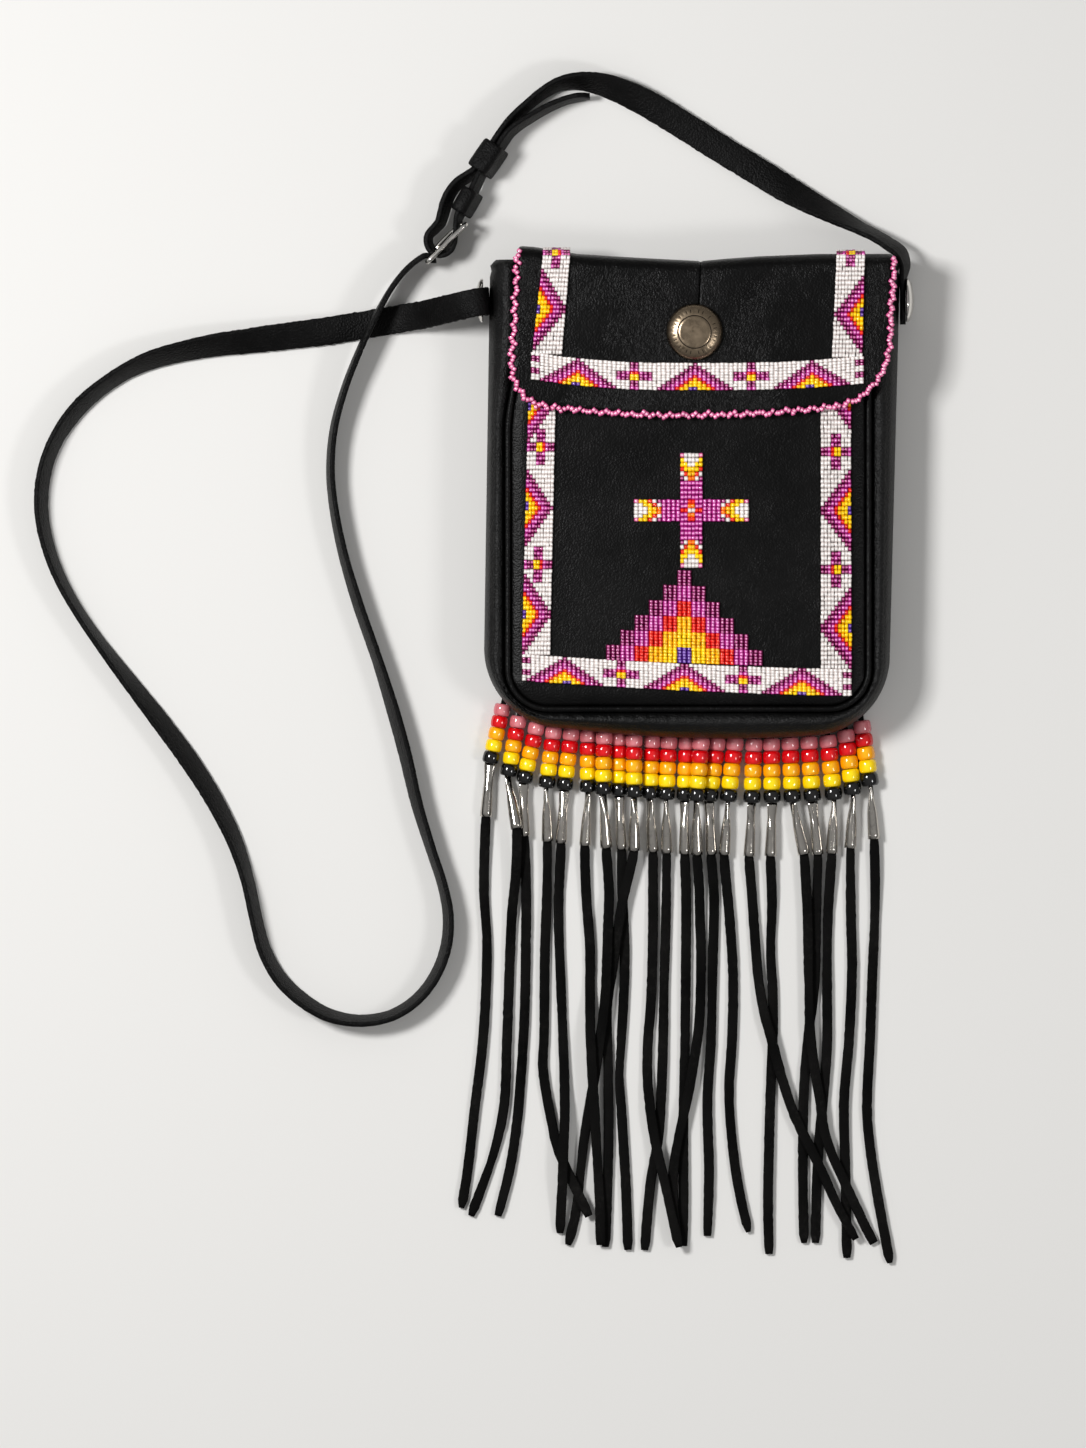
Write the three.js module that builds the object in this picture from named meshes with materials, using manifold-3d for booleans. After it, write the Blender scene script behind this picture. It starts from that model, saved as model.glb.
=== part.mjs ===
// Beaded fringe shoulder bag lying on its back, in millimetres.
// +X runs to the right of the front, +Y to the top edge, +Z out of the front face.
import * as THREE from "three";
import { mergeVertices } from "three/addons/utils/BufferGeometryUtils.js";
import Module from "manifold-3d";

const wasm = await Module();
wasm.setup();
const { lerp, clamp, mapLinear, degToRad } = THREE.MathUtils;

// Shared thicknesses and clearances
const GAP = 0.3;
const LEATHER = 2.2;
const BEADWORK = 1.8;
const FLOOR_GAP = 0.3;

// Body of the bag
const BODY_HALF_WIDTH = 102.4;
const BODY_SHIFT_TOP = 1;
const BODY_SHIFT_BOTTOM = -2;
const BODY_TOP_Y = 116;
const BODY_BOTTOM_Y = -118.5;
const BODY_BOTTOM_TILT = -0.03;
const BODY_BOTTOM_SAG = 3;
const BODY_CORNER = 40;
const BODY_DEPTH = 36;
const GUSSET_BAND = 10.6;
const GUSSET_PUFF = 1;
const GUSSET_FRONT_DROP = 2.5;
const GUSSET_SHOULDER_DROP = 3;
const GUSSET_SIDE_DROP = 11;
const GUSSET_BACK_RISE = 5;
const BACK_SHARE = 0.88;

// Front panel and its piping
const FRONT_CENTRE_X = -2.5;
const FRONT_TOP_Y = 94;
const FRONT_BOTTOM_Y = -105.2;
const FRONT_CORNER = 18.2;
const PIPING_RADIUS = 1.5;

// Flap, its edging and its fold
const HINGE_Y = 119.5;
const FLAP_LEFT = -90;
const FLAP_RIGHT = 96.5;
const FLAP_CORNER_Y = 44;
const FLAP_SAG = 4;
const FLAP_CORNER = 16;
const EDGING_WIDTH = 1.7;
const EDGING_THICKNESS = 2;
const TOP_PANEL_BULGE = 3;

// Bead strips on the flap
const FLAP_STRIP_LEFT_TOP = [-75, -61.5];
const FLAP_STRIP_LEFT_LOW = [-80.5, -65.5];
const FLAP_STRIP_RIGHT = [70, 85];
const FLAP_STRIP_BOTTOM_X = [-81, 85];
const FLAP_STRIP_LOW_Y = 52;
const FLAP_STRIP_HEIGHT = 13.5;
const FLAP_STRIP_FLAT_HALF = 15;
const FLAP_STRIP_RISE_LEFT = 5.5;
const FLAP_STRIP_RISE_RIGHT = 3.4;

// Bead strips on the front panel
const BODY_STRIP_TOP_Y = 80;
const BODY_STRIP_LEFT_TOP = [-81.5, -68];
const BODY_STRIP_LEFT_LOW = [-85.5, -71.5];
const BODY_STRIP_RIGHT_TOP = [63.5, 78.5];
const BODY_STRIP_RIGHT_LOW = [63.5, 79];
const BODY_STRIP_BOTTOM_X = [-85.5, 79];
const BODY_STRIP_LOW_Y = -97.8;
const BODY_STRIP_HEIGHT = 13.2;
const BODY_STRIP_FALL = 3.85;
const BODY_STRIP_BOW = 1.15;

// Beaded cross and stepped hill
const CROSS_X = -1;
const CROSS_Y = -8;
const CROSS_ARM_WIDTH = 11;
const CROSS_HALF_SPAN = 28.7;
const HILL_X = -4.5;
const HILL_BASE_Y = -83.4;
const HILL_TILT = -0.036;
const HILL_LEVELS = 6;
const HILL_LEVEL_HEIGHT = 7.6;
const HILL_STEP_WIDTH = 7.1;
const HILL_TOP_HALF = 3.5;

// Flap button and press stud
const BUTTON_X = 0.5;
const BUTTON_Y = 80.5;
const BUTTON_RADIUS = 13.75;
const BUTTON_HEIGHT = 5.6;
const BUTTON_POST = 2.2;
const SNAP_RADIUS = 6.2;
const STUD_RADIUS = 2.4;
const STUD_BASE = 0.7;
const SOCKET_HEIGHT = 0.9;

// Strap, its side buttons, buckle and keepers
const STRAP_WIDTH = 14;
const STRAP_THICKNESS = 2.6;
const STRAP_CHAMFER = 0.6;
const SIDE_BUTTON_Y = 97;
const SIDE_BUTTON_BELOW = 0.5;
const SIDE_BUTTON_RADIUS = 11;
const SIDE_BUTTON_HEIGHT = 4;
const SIDE_POST = 2;
const WASHER_RADIUS = 5;
const WASHER_THICKNESS = 1.5;
const BUCKLE_X = -123.1;
const BUCKLE_Y = 125.6;
const BUCKLE_Z = 10.2;
const BUCKLE_TURN = 44.5;
const BUCKLE_LENGTH = 28.4;
const BUCKLE_WIRE = 2;
const BUCKLE_PLAY = 0.6;
const BUCKLE_BAR_AT = -3.4;
const PRONG_WIDTH = 2.2;
const PRONG_THICKNESS = 1.6;
const PRONG_PLAY = 0.5;
const PRONG_SHORT = 0.4;
const KEEPER_WALL = 1.8;
const KEEPER_PLAY = 0.45;
const KEEPER_TILT = 75;
const FIXED_KEEPER_LENGTH = 11.5;
const FIXED_KEEPER_AT = [-112.9, 146.2, 10.7];
const FIXED_KEEPER_HEADING = 60;
const SLIDE_KEEPER_LENGTH = 14;
const SLIDE_KEEPER_AT = [-102.35, 167.95, 10.7];
const SLIDE_KEEPER_HEADING = 55.5;
const STRAP_PAIR_PITCH = STRAP_THICKNESS + 0.5;

// Fringe
const BEAD_RADIUS = 4;
const BEAD_NECK = 2.9;
const BEAD_LENGTH = 5.95;
const BEADS_PER_STRAND = 5;
const CONE_LENGTH = 26.5;
const CONE_TOP_RADIUS = 1.7;
const CONE_END_RADIUS = 2.9;
const THONG_WIDTH = 5;
const THONG_THICKNESS = 1.8;
const THONG_Z = 1.2;
const STUB_WIDTH = 3;
const STUB_REACH = 2;

// The front panel fills the body's width between the gusset's bands and the piping
const seamMargin = GAP + 2 * PIPING_RADIUS + GAP;
const frontHalfWidth = BODY_HALF_WIDTH - GUSSET_BAND - seamMargin;

// Heights built up from the back face
const backTopZ = LEATHER;
const gussetBackZ = backTopZ + GAP;
const frontFaceZ = BODY_DEPTH;
const frontBackZ = frontFaceZ - LEATHER;
const beadBaseZ = frontFaceZ + GAP;
const flapBackZ = beadBaseZ + BEADWORK + GAP;
const flapFaceZ = flapBackZ + LEATHER;
const flapBeadZ = flapFaceZ + GAP;
const hingeZ = (flapBackZ + flapFaceZ) / 2;

// Materials, one made afresh for every piece
const LOOKS = {
  leather: { color: 0x17161a, roughness: 0.55, metalness: 0 },
  suede: { color: 0x1c1a1b, roughness: 0.9, metalness: 0 },
  white_beads: { color: 0xefe9df, roughness: 0.3, metalness: 0 },
  orchid_beads: { color: 0xa565b8, roughness: 0.3, metalness: 0 },
  red_beads: { color: 0xd8231a, roughness: 0.3, metalness: 0 },
  pink_beads: { color: 0xe8649a, roughness: 0.3, metalness: 0 },
  silver: { color: 0xc9ccd0, roughness: 0.25, metalness: 1 },
  old_silver: { color: 0x8f8577, roughness: 0.4, metalness: 1 },
};

const bag = new THREE.Group();
bag.name = "beaded_fringe_bag";

function addPiece(name, geometry, look) {
  const piece = new THREE.Mesh(geometry, new THREE.MeshStandardMaterial(LOOKS[look]));
  piece.name = name;
  bag.add(piece);
}

// Solids: closed geometry in, closed geometry out
function solidOf(geometry) {
  const bare = geometry.clone();
  bare.deleteAttribute("normal");
  bare.deleteAttribute("uv");
  const merged = mergeVertices(bare, 1e-4);
  const triangles = new Uint32Array(merged.index.array);
  const corners = new Float32Array(merged.attributes.position.array);
  return new wasm.Manifold(new wasm.Mesh({ numProp: 3, vertProperties: corners, triVerts: triangles }));
}

function geometryOf(solid) {
  const mesh = solid.getMesh();
  const geometry = new THREE.BufferGeometry();
  geometry.setAttribute("position", new THREE.BufferAttribute(mesh.vertProperties, 3));
  geometry.setIndex(new THREE.BufferAttribute(mesh.triVerts, 1));
  geometry.computeVertexNormals();
  return geometry;
}

function shapeOf(points) {
  return new THREE.Shape(points.map(([x, y]) => new THREE.Vector2(x, y)));
}

// A flat plate between two heights
function plate(shape, fromZ, toZ) {
  const geometry = new THREE.ExtrudeGeometry(shape, { depth: toZ - fromZ, bevelEnabled: false });
  geometry.translate(0, 0, fromZ);
  return geometry;
}

// A turned piece whose axis is +Z
function turned(profile, sides) {
  const points = profile.map(([radius, height]) => new THREE.Vector2(radius, height));
  const geometry = new THREE.LatheGeometry(points, sides);
  geometry.rotateX(Math.PI / 2);
  return geometry;
}

// Turns a piece made along +Z so that it starts at a point and runs in a direction
function aimed(geometry, start, direction) {
  const turn = new THREE.Quaternion().setFromUnitVectors(new THREE.Vector3(0, 0, 1), direction);
  geometry.applyQuaternion(turn);
  geometry.translate(start.x, start.y, start.z);
  return geometry;
}

// A section carried along stations, each station giving a centre and the two section axes
function carried(shape, steps, stationAt) {
  const geometry = new THREE.ExtrudeGeometry(shape, { depth: 1, steps, bevelEnabled: false });
  const position = geometry.attributes.position;
  const corner = new THREE.Vector3();
  for (let i = 0; i < position.count; i++) {
    corner.fromBufferAttribute(position, i);
    const station = stationAt(corner.z);
    const point = station.centre.clone();
    point.addScaledVector(station.across, corner.x);
    point.addScaledVector(station.out, corner.y);
    position.setXYZ(i, point.x, point.y, point.z);
  }
  return geometry;
}

// A flat band along a smooth route of [x, y, z, roll]; roll 0 lies flat and 90 stands on edge
function band(route, width, thickness, chamfer, steps) {
  const curve = new THREE.CatmullRomCurve3(route.map(([x, y, z]) => new THREE.Vector3(x, y, z)));
  const up = new THREE.Vector3(0, 0, 1);
  const steepSide = new THREE.Vector3(0, -1, 0);
  const halfW = width / 2;
  const halfT = thickness / 2;
  const flat = [[-halfW, -halfT], [halfW, -halfT], [halfW, halfT], [-halfW, halfT]];
  const eased = [
    [-halfW + chamfer, -halfT], [halfW - chamfer, -halfT],
    [halfW, -halfT + chamfer], [halfW, halfT - chamfer],
    [halfW - chamfer, halfT], [-halfW + chamfer, halfT],
    [-halfW, halfT - chamfer], [-halfW, -halfT + chamfer],
  ];
  const section = shapeOf(chamfer > 0 ? eased : flat);
  return carried(section, steps, (share) => {
    const tangent = curve.getTangent(share);
    const place = share * (route.length - 1);
    const before = Math.min(Math.floor(place), route.length - 2);
    const blend = place - before;
    const rollBefore = route[before][3] ?? 0;
    const rollAfter = route[before + 1][3] ?? 0;
    const roll = degToRad(lerp(rollBefore, rollAfter, blend));
    const steep = Math.hypot(tangent.x, tangent.y) < 0.25;
    const level = steep ? steepSide.clone() : new THREE.Vector3().crossVectors(up, tangent).normalize();
    const raised = new THREE.Vector3().crossVectors(tangent, level).normalize();
    const across = level.clone().multiplyScalar(Math.cos(roll)).addScaledVector(raised, Math.sin(roll));
    const out = raised.clone().multiplyScalar(Math.cos(roll)).addScaledVector(level, -Math.sin(roll));
    return { centre: curve.getPoint(share), across, out };
  });
}

// Open-topped outlines: down the left, round the bottom and up the right
const SIDE_STEPS = 3;
const CORNER_STEPS = 6;
const BOTTOM_STEPS = 8;

function outlinePoints(o) {
  const points = [];
  const leftCentre = [o.leftLow + o.corner, o.bottomLeft + o.corner];
  const rightCentre = [o.rightLow - o.corner, o.bottomRight + o.corner];
  for (let i = 0; i < SIDE_STEPS; i++) {
    const t = i / SIDE_STEPS;
    points.push([lerp(o.leftTop, o.leftLow, t), lerp(o.top, leftCentre[1], t)]);
  }
  for (let i = 0; i < CORNER_STEPS; i++) {
    const angle = Math.PI * (1 + (0.5 * i) / CORNER_STEPS);
    points.push([leftCentre[0] + o.corner * Math.cos(angle), leftCentre[1] + o.corner * Math.sin(angle)]);
  }
  for (let i = 0; i < BOTTOM_STEPS; i++) {
    const t = i / BOTTOM_STEPS;
    const x = lerp(leftCentre[0], rightCentre[0], t);
    points.push([x, bottomAt(o, x)]);
  }
  for (let i = 0; i < CORNER_STEPS; i++) {
    const angle = Math.PI * (1.5 + (0.5 * i) / CORNER_STEPS);
    points.push([rightCentre[0] + o.corner * Math.cos(angle), rightCentre[1] + o.corner * Math.sin(angle)]);
  }
  for (let i = 0; i <= SIDE_STEPS; i++) {
    const t = i / SIDE_STEPS;
    points.push([lerp(o.rightLow, o.rightTop, t), lerp(rightCentre[1], o.top, t)]);
  }
  return points;
}

// Height of an outline's lower edge at a place across it
function bottomAt(o, x) {
  const fromX = o.leftLow + o.corner;
  const toX = o.rightLow - o.corner;
  if (x < fromX) {
    return o.bottomLeft + o.corner - Math.sqrt(Math.max(0, o.corner ** 2 - (x - fromX) ** 2));
  }
  if (x > toX) {
    return o.bottomRight + o.corner - Math.sqrt(Math.max(0, o.corner ** 2 - (x - toX) ** 2));
  }
  const t = (x - fromX) / (toX - fromX);
  return lerp(o.bottomLeft, o.bottomRight, t) - o.sag * 4 * t * (1 - t);
}

// Side of an outline at a height on its straight part
function sideAt(o, y, toRight) {
  const lowY = (toRight ? o.bottomRight : o.bottomLeft) + o.corner;
  const t = (o.top - y) / (o.top - lowY);
  return toRight ? lerp(o.rightTop, o.rightLow, t) : lerp(o.leftTop, o.leftLow, t);
}

// The front panel's outline, grown outwards by a margin
function frontOutline(margin, top) {
  const left = FRONT_CENTRE_X - frontHalfWidth - margin;
  const right = FRONT_CENTRE_X + frontHalfWidth + margin;
  const bottom = FRONT_BOTTOM_Y - margin;
  const corner = FRONT_CORNER + margin;
  return {
    leftTop: left, leftLow: left, rightTop: right, rightLow: right,
    bottomLeft: bottom, bottomRight: bottom, sag: 0, corner, top,
  };
}

// The widest outline of the puffed body
const bodyOutline = {
  leftTop: BODY_SHIFT_TOP - BODY_HALF_WIDTH,
  leftLow: BODY_SHIFT_BOTTOM - BODY_HALF_WIDTH,
  rightTop: BODY_SHIFT_TOP + BODY_HALF_WIDTH,
  rightLow: BODY_SHIFT_BOTTOM + BODY_HALF_WIDTH,
  bottomLeft: BODY_BOTTOM_Y - BODY_BOTTOM_TILT * (BODY_HALF_WIDTH - BODY_CORNER),
  bottomRight: BODY_BOTTOM_Y + BODY_BOTTOM_TILT * (BODY_HALF_WIDTH - BODY_CORNER),
  sag: BODY_BOTTOM_SAG,
  corner: BODY_CORNER,
  top: BODY_TOP_Y,
};
const seamOutline = frontOutline(seamMargin, BODY_TOP_Y);
const bodyPoints = outlinePoints(bodyOutline);
const seamPoints = outlinePoints(seamOutline);
const outlineSteps = bodyPoints.length - 1;

// Gusset section as shares of the way from the front seam to the widest outline
const gussetFrontZ = frontFaceZ - GUSSET_FRONT_DROP;
const gussetMidZ = (gussetBackZ + gussetFrontZ) / 2;
const leatherShare = LEATHER / GUSSET_BAND;
const sideButtonZ = gussetMidZ - SIDE_BUTTON_BELOW;
const shoulderZ = gussetFrontZ - GUSSET_SHOULDER_DROP;
const sideZ = gussetFrontZ - GUSSET_SIDE_DROP;
const backEdgeZ = gussetBackZ + GUSSET_BACK_RISE;
const gussetOuter = [
  [0, gussetFrontZ], [0.35, gussetFrontZ + GUSSET_PUFF], [0.75, shoulderZ], [0.97, sideZ],
  [1, gussetMidZ], [0.94, backEdgeZ], [0.8, gussetBackZ],
];
const gussetInner = [
  [0.8 - leatherShare, gussetBackZ], [0.94 - leatherShare, backEdgeZ], [1 - leatherShare, gussetMidZ],
  [0.97 - leatherShare, sideZ - 0.25 * LEATHER], [0.75 - 0.7 * leatherShare, shoulderZ - 0.75 * LEATHER],
  [0.35, gussetFrontZ + GUSSET_PUFF - LEATHER], [0, gussetFrontZ - LEATHER],
];

function gussetStation(share) {
  const i = Math.round((1 - share) * outlineSteps);
  const seam = new THREE.Vector3(seamPoints[i][0], seamPoints[i][1], 0);
  const edge = new THREE.Vector3(bodyPoints[i][0], bodyPoints[i][1], 0);
  return { centre: seam, across: edge.sub(seam), out: new THREE.Vector3(0, 0, 1) };
}

// Share of the bulge that the gusset's outside reaches at a height in its lower half
function gussetReach(z) {
  const low = gussetOuter[6];
  const mid = gussetOuter[5];
  const high = gussetOuter[4];
  if (z < mid[1]) {
    return mapLinear(Math.max(z, low[1]), low[1], mid[1], low[0], mid[0]);
  }
  return mapLinear(Math.min(z, high[1]), mid[1], high[1], mid[0], high[0]);
}

// Height of the gusset's lower edge at a place across it and a height above the back
function gussetEdgeY(x, z) {
  const seamY = bottomAt(seamOutline, clamp(x, seamOutline.leftLow, seamOutline.rightLow));
  return lerp(seamY, bottomAt(bodyOutline, x), gussetReach(z));
}

// Gusset with the two strap button holes
const sideHole = turned([[0, -6], [SIDE_POST + GAP, -6], [SIDE_POST + GAP, 6], [0, 6]], 12);

function holeAcross(x) {
  const place = new THREE.Vector3(x, SIDE_BUTTON_Y, sideButtonZ);
  return solidOf(aimed(sideHole.clone(), place, new THREE.Vector3(1, 0, 0)));
}

const sideLeftX = sideAt(bodyOutline, SIDE_BUTTON_Y, false);
const sideRightX = sideAt(bodyOutline, SIDE_BUTTON_Y, true);
const gussetSection = shapeOf([...gussetOuter, ...gussetInner].reverse());
const gussetBand = solidOf(carried(gussetSection, outlineSteps, gussetStation));
const gussetHoled = gussetBand.subtract(holeAcross(sideLeftX)).subtract(holeAcross(sideRightX));
addPiece("gusset", geometryOf(gussetHoled), "leather");

// Back panel, drawn in a little from the widest outline
const backPoints = bodyPoints.map(([x, y], i) => [
  lerp(seamPoints[i][0], x, BACK_SHARE),
  lerp(seamPoints[i][1], y, BACK_SHARE),
]);
backPoints[0][1] = HINGE_Y + 1;
backPoints[backPoints.length - 1][1] = HINGE_Y + 1;
addPiece("back_panel", plate(shapeOf(backPoints), 0, backTopZ), "leather");

// Front panel with its low mouth edge, and the piping round it
const frontShape = shapeOf(outlinePoints(frontOutline(0, FRONT_TOP_Y)));
addPiece("front_panel", plate(frontShape, frontBackZ, frontFaceZ), "leather");

const pipingPoints = outlinePoints(frontOutline(GAP + PIPING_RADIUS, FRONT_TOP_Y));
const pipingSection = new THREE.Shape();
pipingSection.absarc(0, 0, PIPING_RADIUS, 0, 2 * Math.PI);
const pipingSolid = new THREE.Shape(pipingSection.getPoints(3));
addPiece("front_piping", carried(pipingSolid, outlineSteps, (share) => {
  const i = Math.round(share * outlineSteps);
  const before = pipingPoints[Math.max(i - 1, 0)];
  const after = pipingPoints[Math.min(i + 1, outlineSteps)];
  const along = new THREE.Vector3(after[0] - before[0], after[1] - before[1], 0).normalize();
  const up = new THREE.Vector3(0, 0, 1);
  const centre = new THREE.Vector3(pipingPoints[i][0], pipingPoints[i][1], frontFaceZ - LEATHER / 2);
  return { centre, across: new THREE.Vector3().crossVectors(up, along), out: up };
}), "leather");

// Top panel: the leather that climbs from the back panel to the fold
const foldTopZ = hingeZ - LEATHER / 2 - GAP;
const topProfile = [
  [HINGE_Y - LEATHER + 0.5, gussetBackZ],
  [HINGE_Y + TOP_PANEL_BULGE - LEATHER, gussetMidZ],
  [HINGE_Y - LEATHER + 0.2, foldTopZ],
  [HINGE_Y + 0.2, foldTopZ],
  [HINGE_Y + TOP_PANEL_BULGE - 0.6, foldTopZ - 6],
  [HINGE_Y + TOP_PANEL_BULGE, gussetMidZ],
  [HINGE_Y + 0.5, gussetBackZ],
];
const topPanel = new THREE.ExtrudeGeometry(shapeOf(topProfile.reverse()), {
  depth: FLAP_RIGHT - FLAP_LEFT, bevelEnabled: false,
});
topPanel.applyMatrix4(new THREE.Matrix4().makeBasis(
  new THREE.Vector3(0, 1, 0), new THREE.Vector3(0, 0, 1), new THREE.Vector3(1, 0, 0),
));
topPanel.translate(FLAP_LEFT, 0, 0);
addPiece("top_panel", topPanel, "leather");

// Flap leaf with the button hole, and the bead edging round it
function flapOutline(margin) {
  return {
    leftTop: FLAP_LEFT - margin, leftLow: FLAP_LEFT - margin,
    rightTop: FLAP_RIGHT + margin, rightLow: FLAP_RIGHT + margin,
    bottomLeft: FLAP_CORNER_Y - margin, bottomRight: FLAP_CORNER_Y - margin,
    sag: FLAP_SAG, corner: FLAP_CORNER + margin, top: HINGE_Y,
  };
}

const flapShape = shapeOf(outlinePoints(flapOutline(0)));
const buttonHole = new THREE.Path();
buttonHole.absarc(BUTTON_X, BUTTON_Y, BUTTON_POST + GAP, 0, 2 * Math.PI, true);
flapShape.holes.push(new THREE.Path(buttonHole.getPoints(6)));
addPiece("flap", plate(flapShape, flapBackZ, flapFaceZ), "leather");

const edgingOuter = outlinePoints(flapOutline(GAP + EDGING_WIDTH));
const edgingInner = outlinePoints(flapOutline(GAP)).reverse();
addPiece("flap_edge_beading", plate(
  shapeOf([...edgingOuter, ...edgingInner]), hingeZ - EDGING_THICKNESS / 2, hingeZ + EDGING_THICKNESS / 2,
), "pink_beads");

// Bead strips: slabs between a lower and an upper edge
const STRIP_STEPS = 10;

function strip(name, corners, fromZ) {
  addPiece(name, plate(shapeOf(corners), fromZ, fromZ + BEADWORK), "white_beads");
}

function bottomStrip(name, [fromX, toX], lowerAt, height, fromZ) {
  const lower = [];
  for (let i = 0; i <= STRIP_STEPS; i++) {
    const x = lerp(fromX, toX, i / STRIP_STEPS);
    lower.push([x, lowerAt(x)]);
  }
  const upper = lower.map(([x, y]) => [x, y + height]).reverse();
  strip(name, [...lower, ...upper], fromZ);
}

// A side strip stands on the bottom strip and reaches up to a level edge
function sideStrip(name, [lowLeft, lowRight], [topLeft, topRight], lowAt, topY, fromZ) {
  const lowMid = (lowLeft + lowRight) / 2;
  strip(name, [
    [lowLeft, lowAt(lowLeft)], [lowMid, lowAt(lowMid)], [lowRight, lowAt(lowRight)],
    [topRight, topY], [topLeft, topY],
  ], fromZ);
}

// The flap's bottom strip rises towards both ends
const flapStripMid = (FLAP_STRIP_BOTTOM_X[0] + FLAP_STRIP_BOTTOM_X[1]) / 2;
const flapStripHalf = (FLAP_STRIP_BOTTOM_X[1] - FLAP_STRIP_BOTTOM_X[0]) / 2;

function flapStripLower(x) {
  const rise = x < flapStripMid ? FLAP_STRIP_RISE_LEFT : FLAP_STRIP_RISE_RIGHT;
  const past = Math.max(0, Math.abs(x - flapStripMid) - FLAP_STRIP_FLAT_HALF);
  return FLAP_STRIP_LOW_Y + rise * (past / (flapStripHalf - FLAP_STRIP_FLAT_HALF)) ** 2;
}

// The front's bottom strip falls towards the right in a slight bow
const bodyStripMid = (BODY_STRIP_BOTTOM_X[0] + BODY_STRIP_BOTTOM_X[1]) / 2;
const bodyStripHalf = (BODY_STRIP_BOTTOM_X[1] - BODY_STRIP_BOTTOM_X[0]) / 2;

function bodyStripLower(x) {
  const side = (x - bodyStripMid) / bodyStripHalf;
  return BODY_STRIP_LOW_Y - BODY_STRIP_FALL * side + BODY_STRIP_BOW * side ** 2;
}

const flapStripTopY = HINGE_Y - 1;
const onFlapStrip = (x) => flapStripLower(x) + FLAP_STRIP_HEIGHT + GAP;
const onBodyStrip = (x) => bodyStripLower(x) + BODY_STRIP_HEIGHT + GAP;
bottomStrip("flap_strip_bottom", FLAP_STRIP_BOTTOM_X, flapStripLower, FLAP_STRIP_HEIGHT, flapBeadZ);
sideStrip(
  "flap_strip_left", FLAP_STRIP_LEFT_LOW, FLAP_STRIP_LEFT_TOP, onFlapStrip, flapStripTopY, flapBeadZ,
);
sideStrip(
  "flap_strip_right", FLAP_STRIP_RIGHT, FLAP_STRIP_RIGHT, onFlapStrip, flapStripTopY, flapBeadZ,
);
bottomStrip("body_strip_bottom", BODY_STRIP_BOTTOM_X, bodyStripLower, BODY_STRIP_HEIGHT, beadBaseZ);
sideStrip(
  "body_strip_left", BODY_STRIP_LEFT_LOW, BODY_STRIP_LEFT_TOP, onBodyStrip, BODY_STRIP_TOP_Y, beadBaseZ,
);
sideStrip(
  "body_strip_right", BODY_STRIP_RIGHT_LOW, BODY_STRIP_RIGHT_TOP, onBodyStrip, BODY_STRIP_TOP_Y, beadBaseZ,
);

// Beaded cross with four equal arms
const armHalf = CROSS_ARM_WIDTH / 2;
const crossCorners = [];
for (let quarter = 0; quarter < 4; quarter++) {
  const turn = (quarter * Math.PI) / 2;
  for (const [x, y] of [[armHalf, armHalf], [armHalf, CROSS_HALF_SPAN], [-armHalf, CROSS_HALF_SPAN]]) {
    const turnedX = x * Math.cos(turn) - y * Math.sin(turn);
    const turnedY = x * Math.sin(turn) + y * Math.cos(turn);
    crossCorners.push([CROSS_X + turnedX, CROSS_Y + turnedY]);
  }
}
addPiece("beaded_cross", plate(shapeOf(crossCorners), beadBaseZ, beadBaseZ + BEADWORK), "orchid_beads");

// Stepped hill, widest at its base
const hillRight = [];
for (let level = 0; level < HILL_LEVELS; level++) {
  const half = HILL_TOP_HALF + HILL_STEP_WIDTH * (HILL_LEVELS - 1 - level);
  hillRight.push([half, HILL_BASE_Y + level * HILL_LEVEL_HEIGHT]);
  hillRight.push([half, HILL_BASE_Y + (level + 1) * HILL_LEVEL_HEIGHT]);
}
const hillLeft = hillRight.map(([half, y]) => [-half, y]).reverse();
const hillCorners = [...hillRight, ...hillLeft].map(([side, y]) => [HILL_X + side, y + HILL_TILT * side]);
addPiece("beaded_hill", plate(shapeOf(hillCorners), beadBaseZ, beadBaseZ + BEADWORK), "red_beads");

// Flap button with its shank, socket under the flap and stud on the front panel
const snapTopZ = flapBackZ - GAP;
const shankEnd = snapTopZ - SOCKET_HEIGHT - flapBeadZ;
const flapButton = turned([
  [0, shankEnd], [BUTTON_POST, shankEnd], [BUTTON_POST, 0],
  [BUTTON_RADIUS - 0.8, 0], [BUTTON_RADIUS, 0.9], [BUTTON_RADIUS - 0.7, 2.2],
  [BUTTON_RADIUS * 0.8, BUTTON_HEIGHT * 0.62], [BUTTON_RADIUS * 0.6, BUTTON_HEIGHT * 0.82],
  [BUTTON_RADIUS * 0.3, BUTTON_HEIGHT * 0.96], [0, BUTTON_HEIGHT],
], 20);
flapButton.translate(BUTTON_X, BUTTON_Y, flapBeadZ);
addPiece("flap_button", flapButton, "old_silver");

const socketBore = STUD_RADIUS + GAP;
const socket = turned([
  [socketBore, snapTopZ - SOCKET_HEIGHT], [SNAP_RADIUS, snapTopZ - SOCKET_HEIGHT], [SNAP_RADIUS, snapTopZ],
  [socketBore, snapTopZ], [socketBore, snapTopZ - SOCKET_HEIGHT],
], 16);
socket.translate(BUTTON_X, BUTTON_Y, 0);
addPiece("button_socket", socket, "silver");

const studTopZ = snapTopZ - SOCKET_HEIGHT - GAP;
const stud = turned([
  [0, beadBaseZ], [SNAP_RADIUS, beadBaseZ], [SNAP_RADIUS, Math.min(beadBaseZ + STUD_BASE, studTopZ)],
  [0, Math.min(beadBaseZ + STUD_BASE, studTopZ)],
], 16);
stud.translate(BUTTON_X, BUTTON_Y, 0);
addPiece("press_stud", stud, "silver");

// Strap ends sit against the gusset's sides under the domed buttons
const strapLeftX = sideLeftX - GAP - STRAP_THICKNESS / 2;
const strapRightX = sideRightX + GAP + STRAP_THICKNESS / 2;

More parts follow.
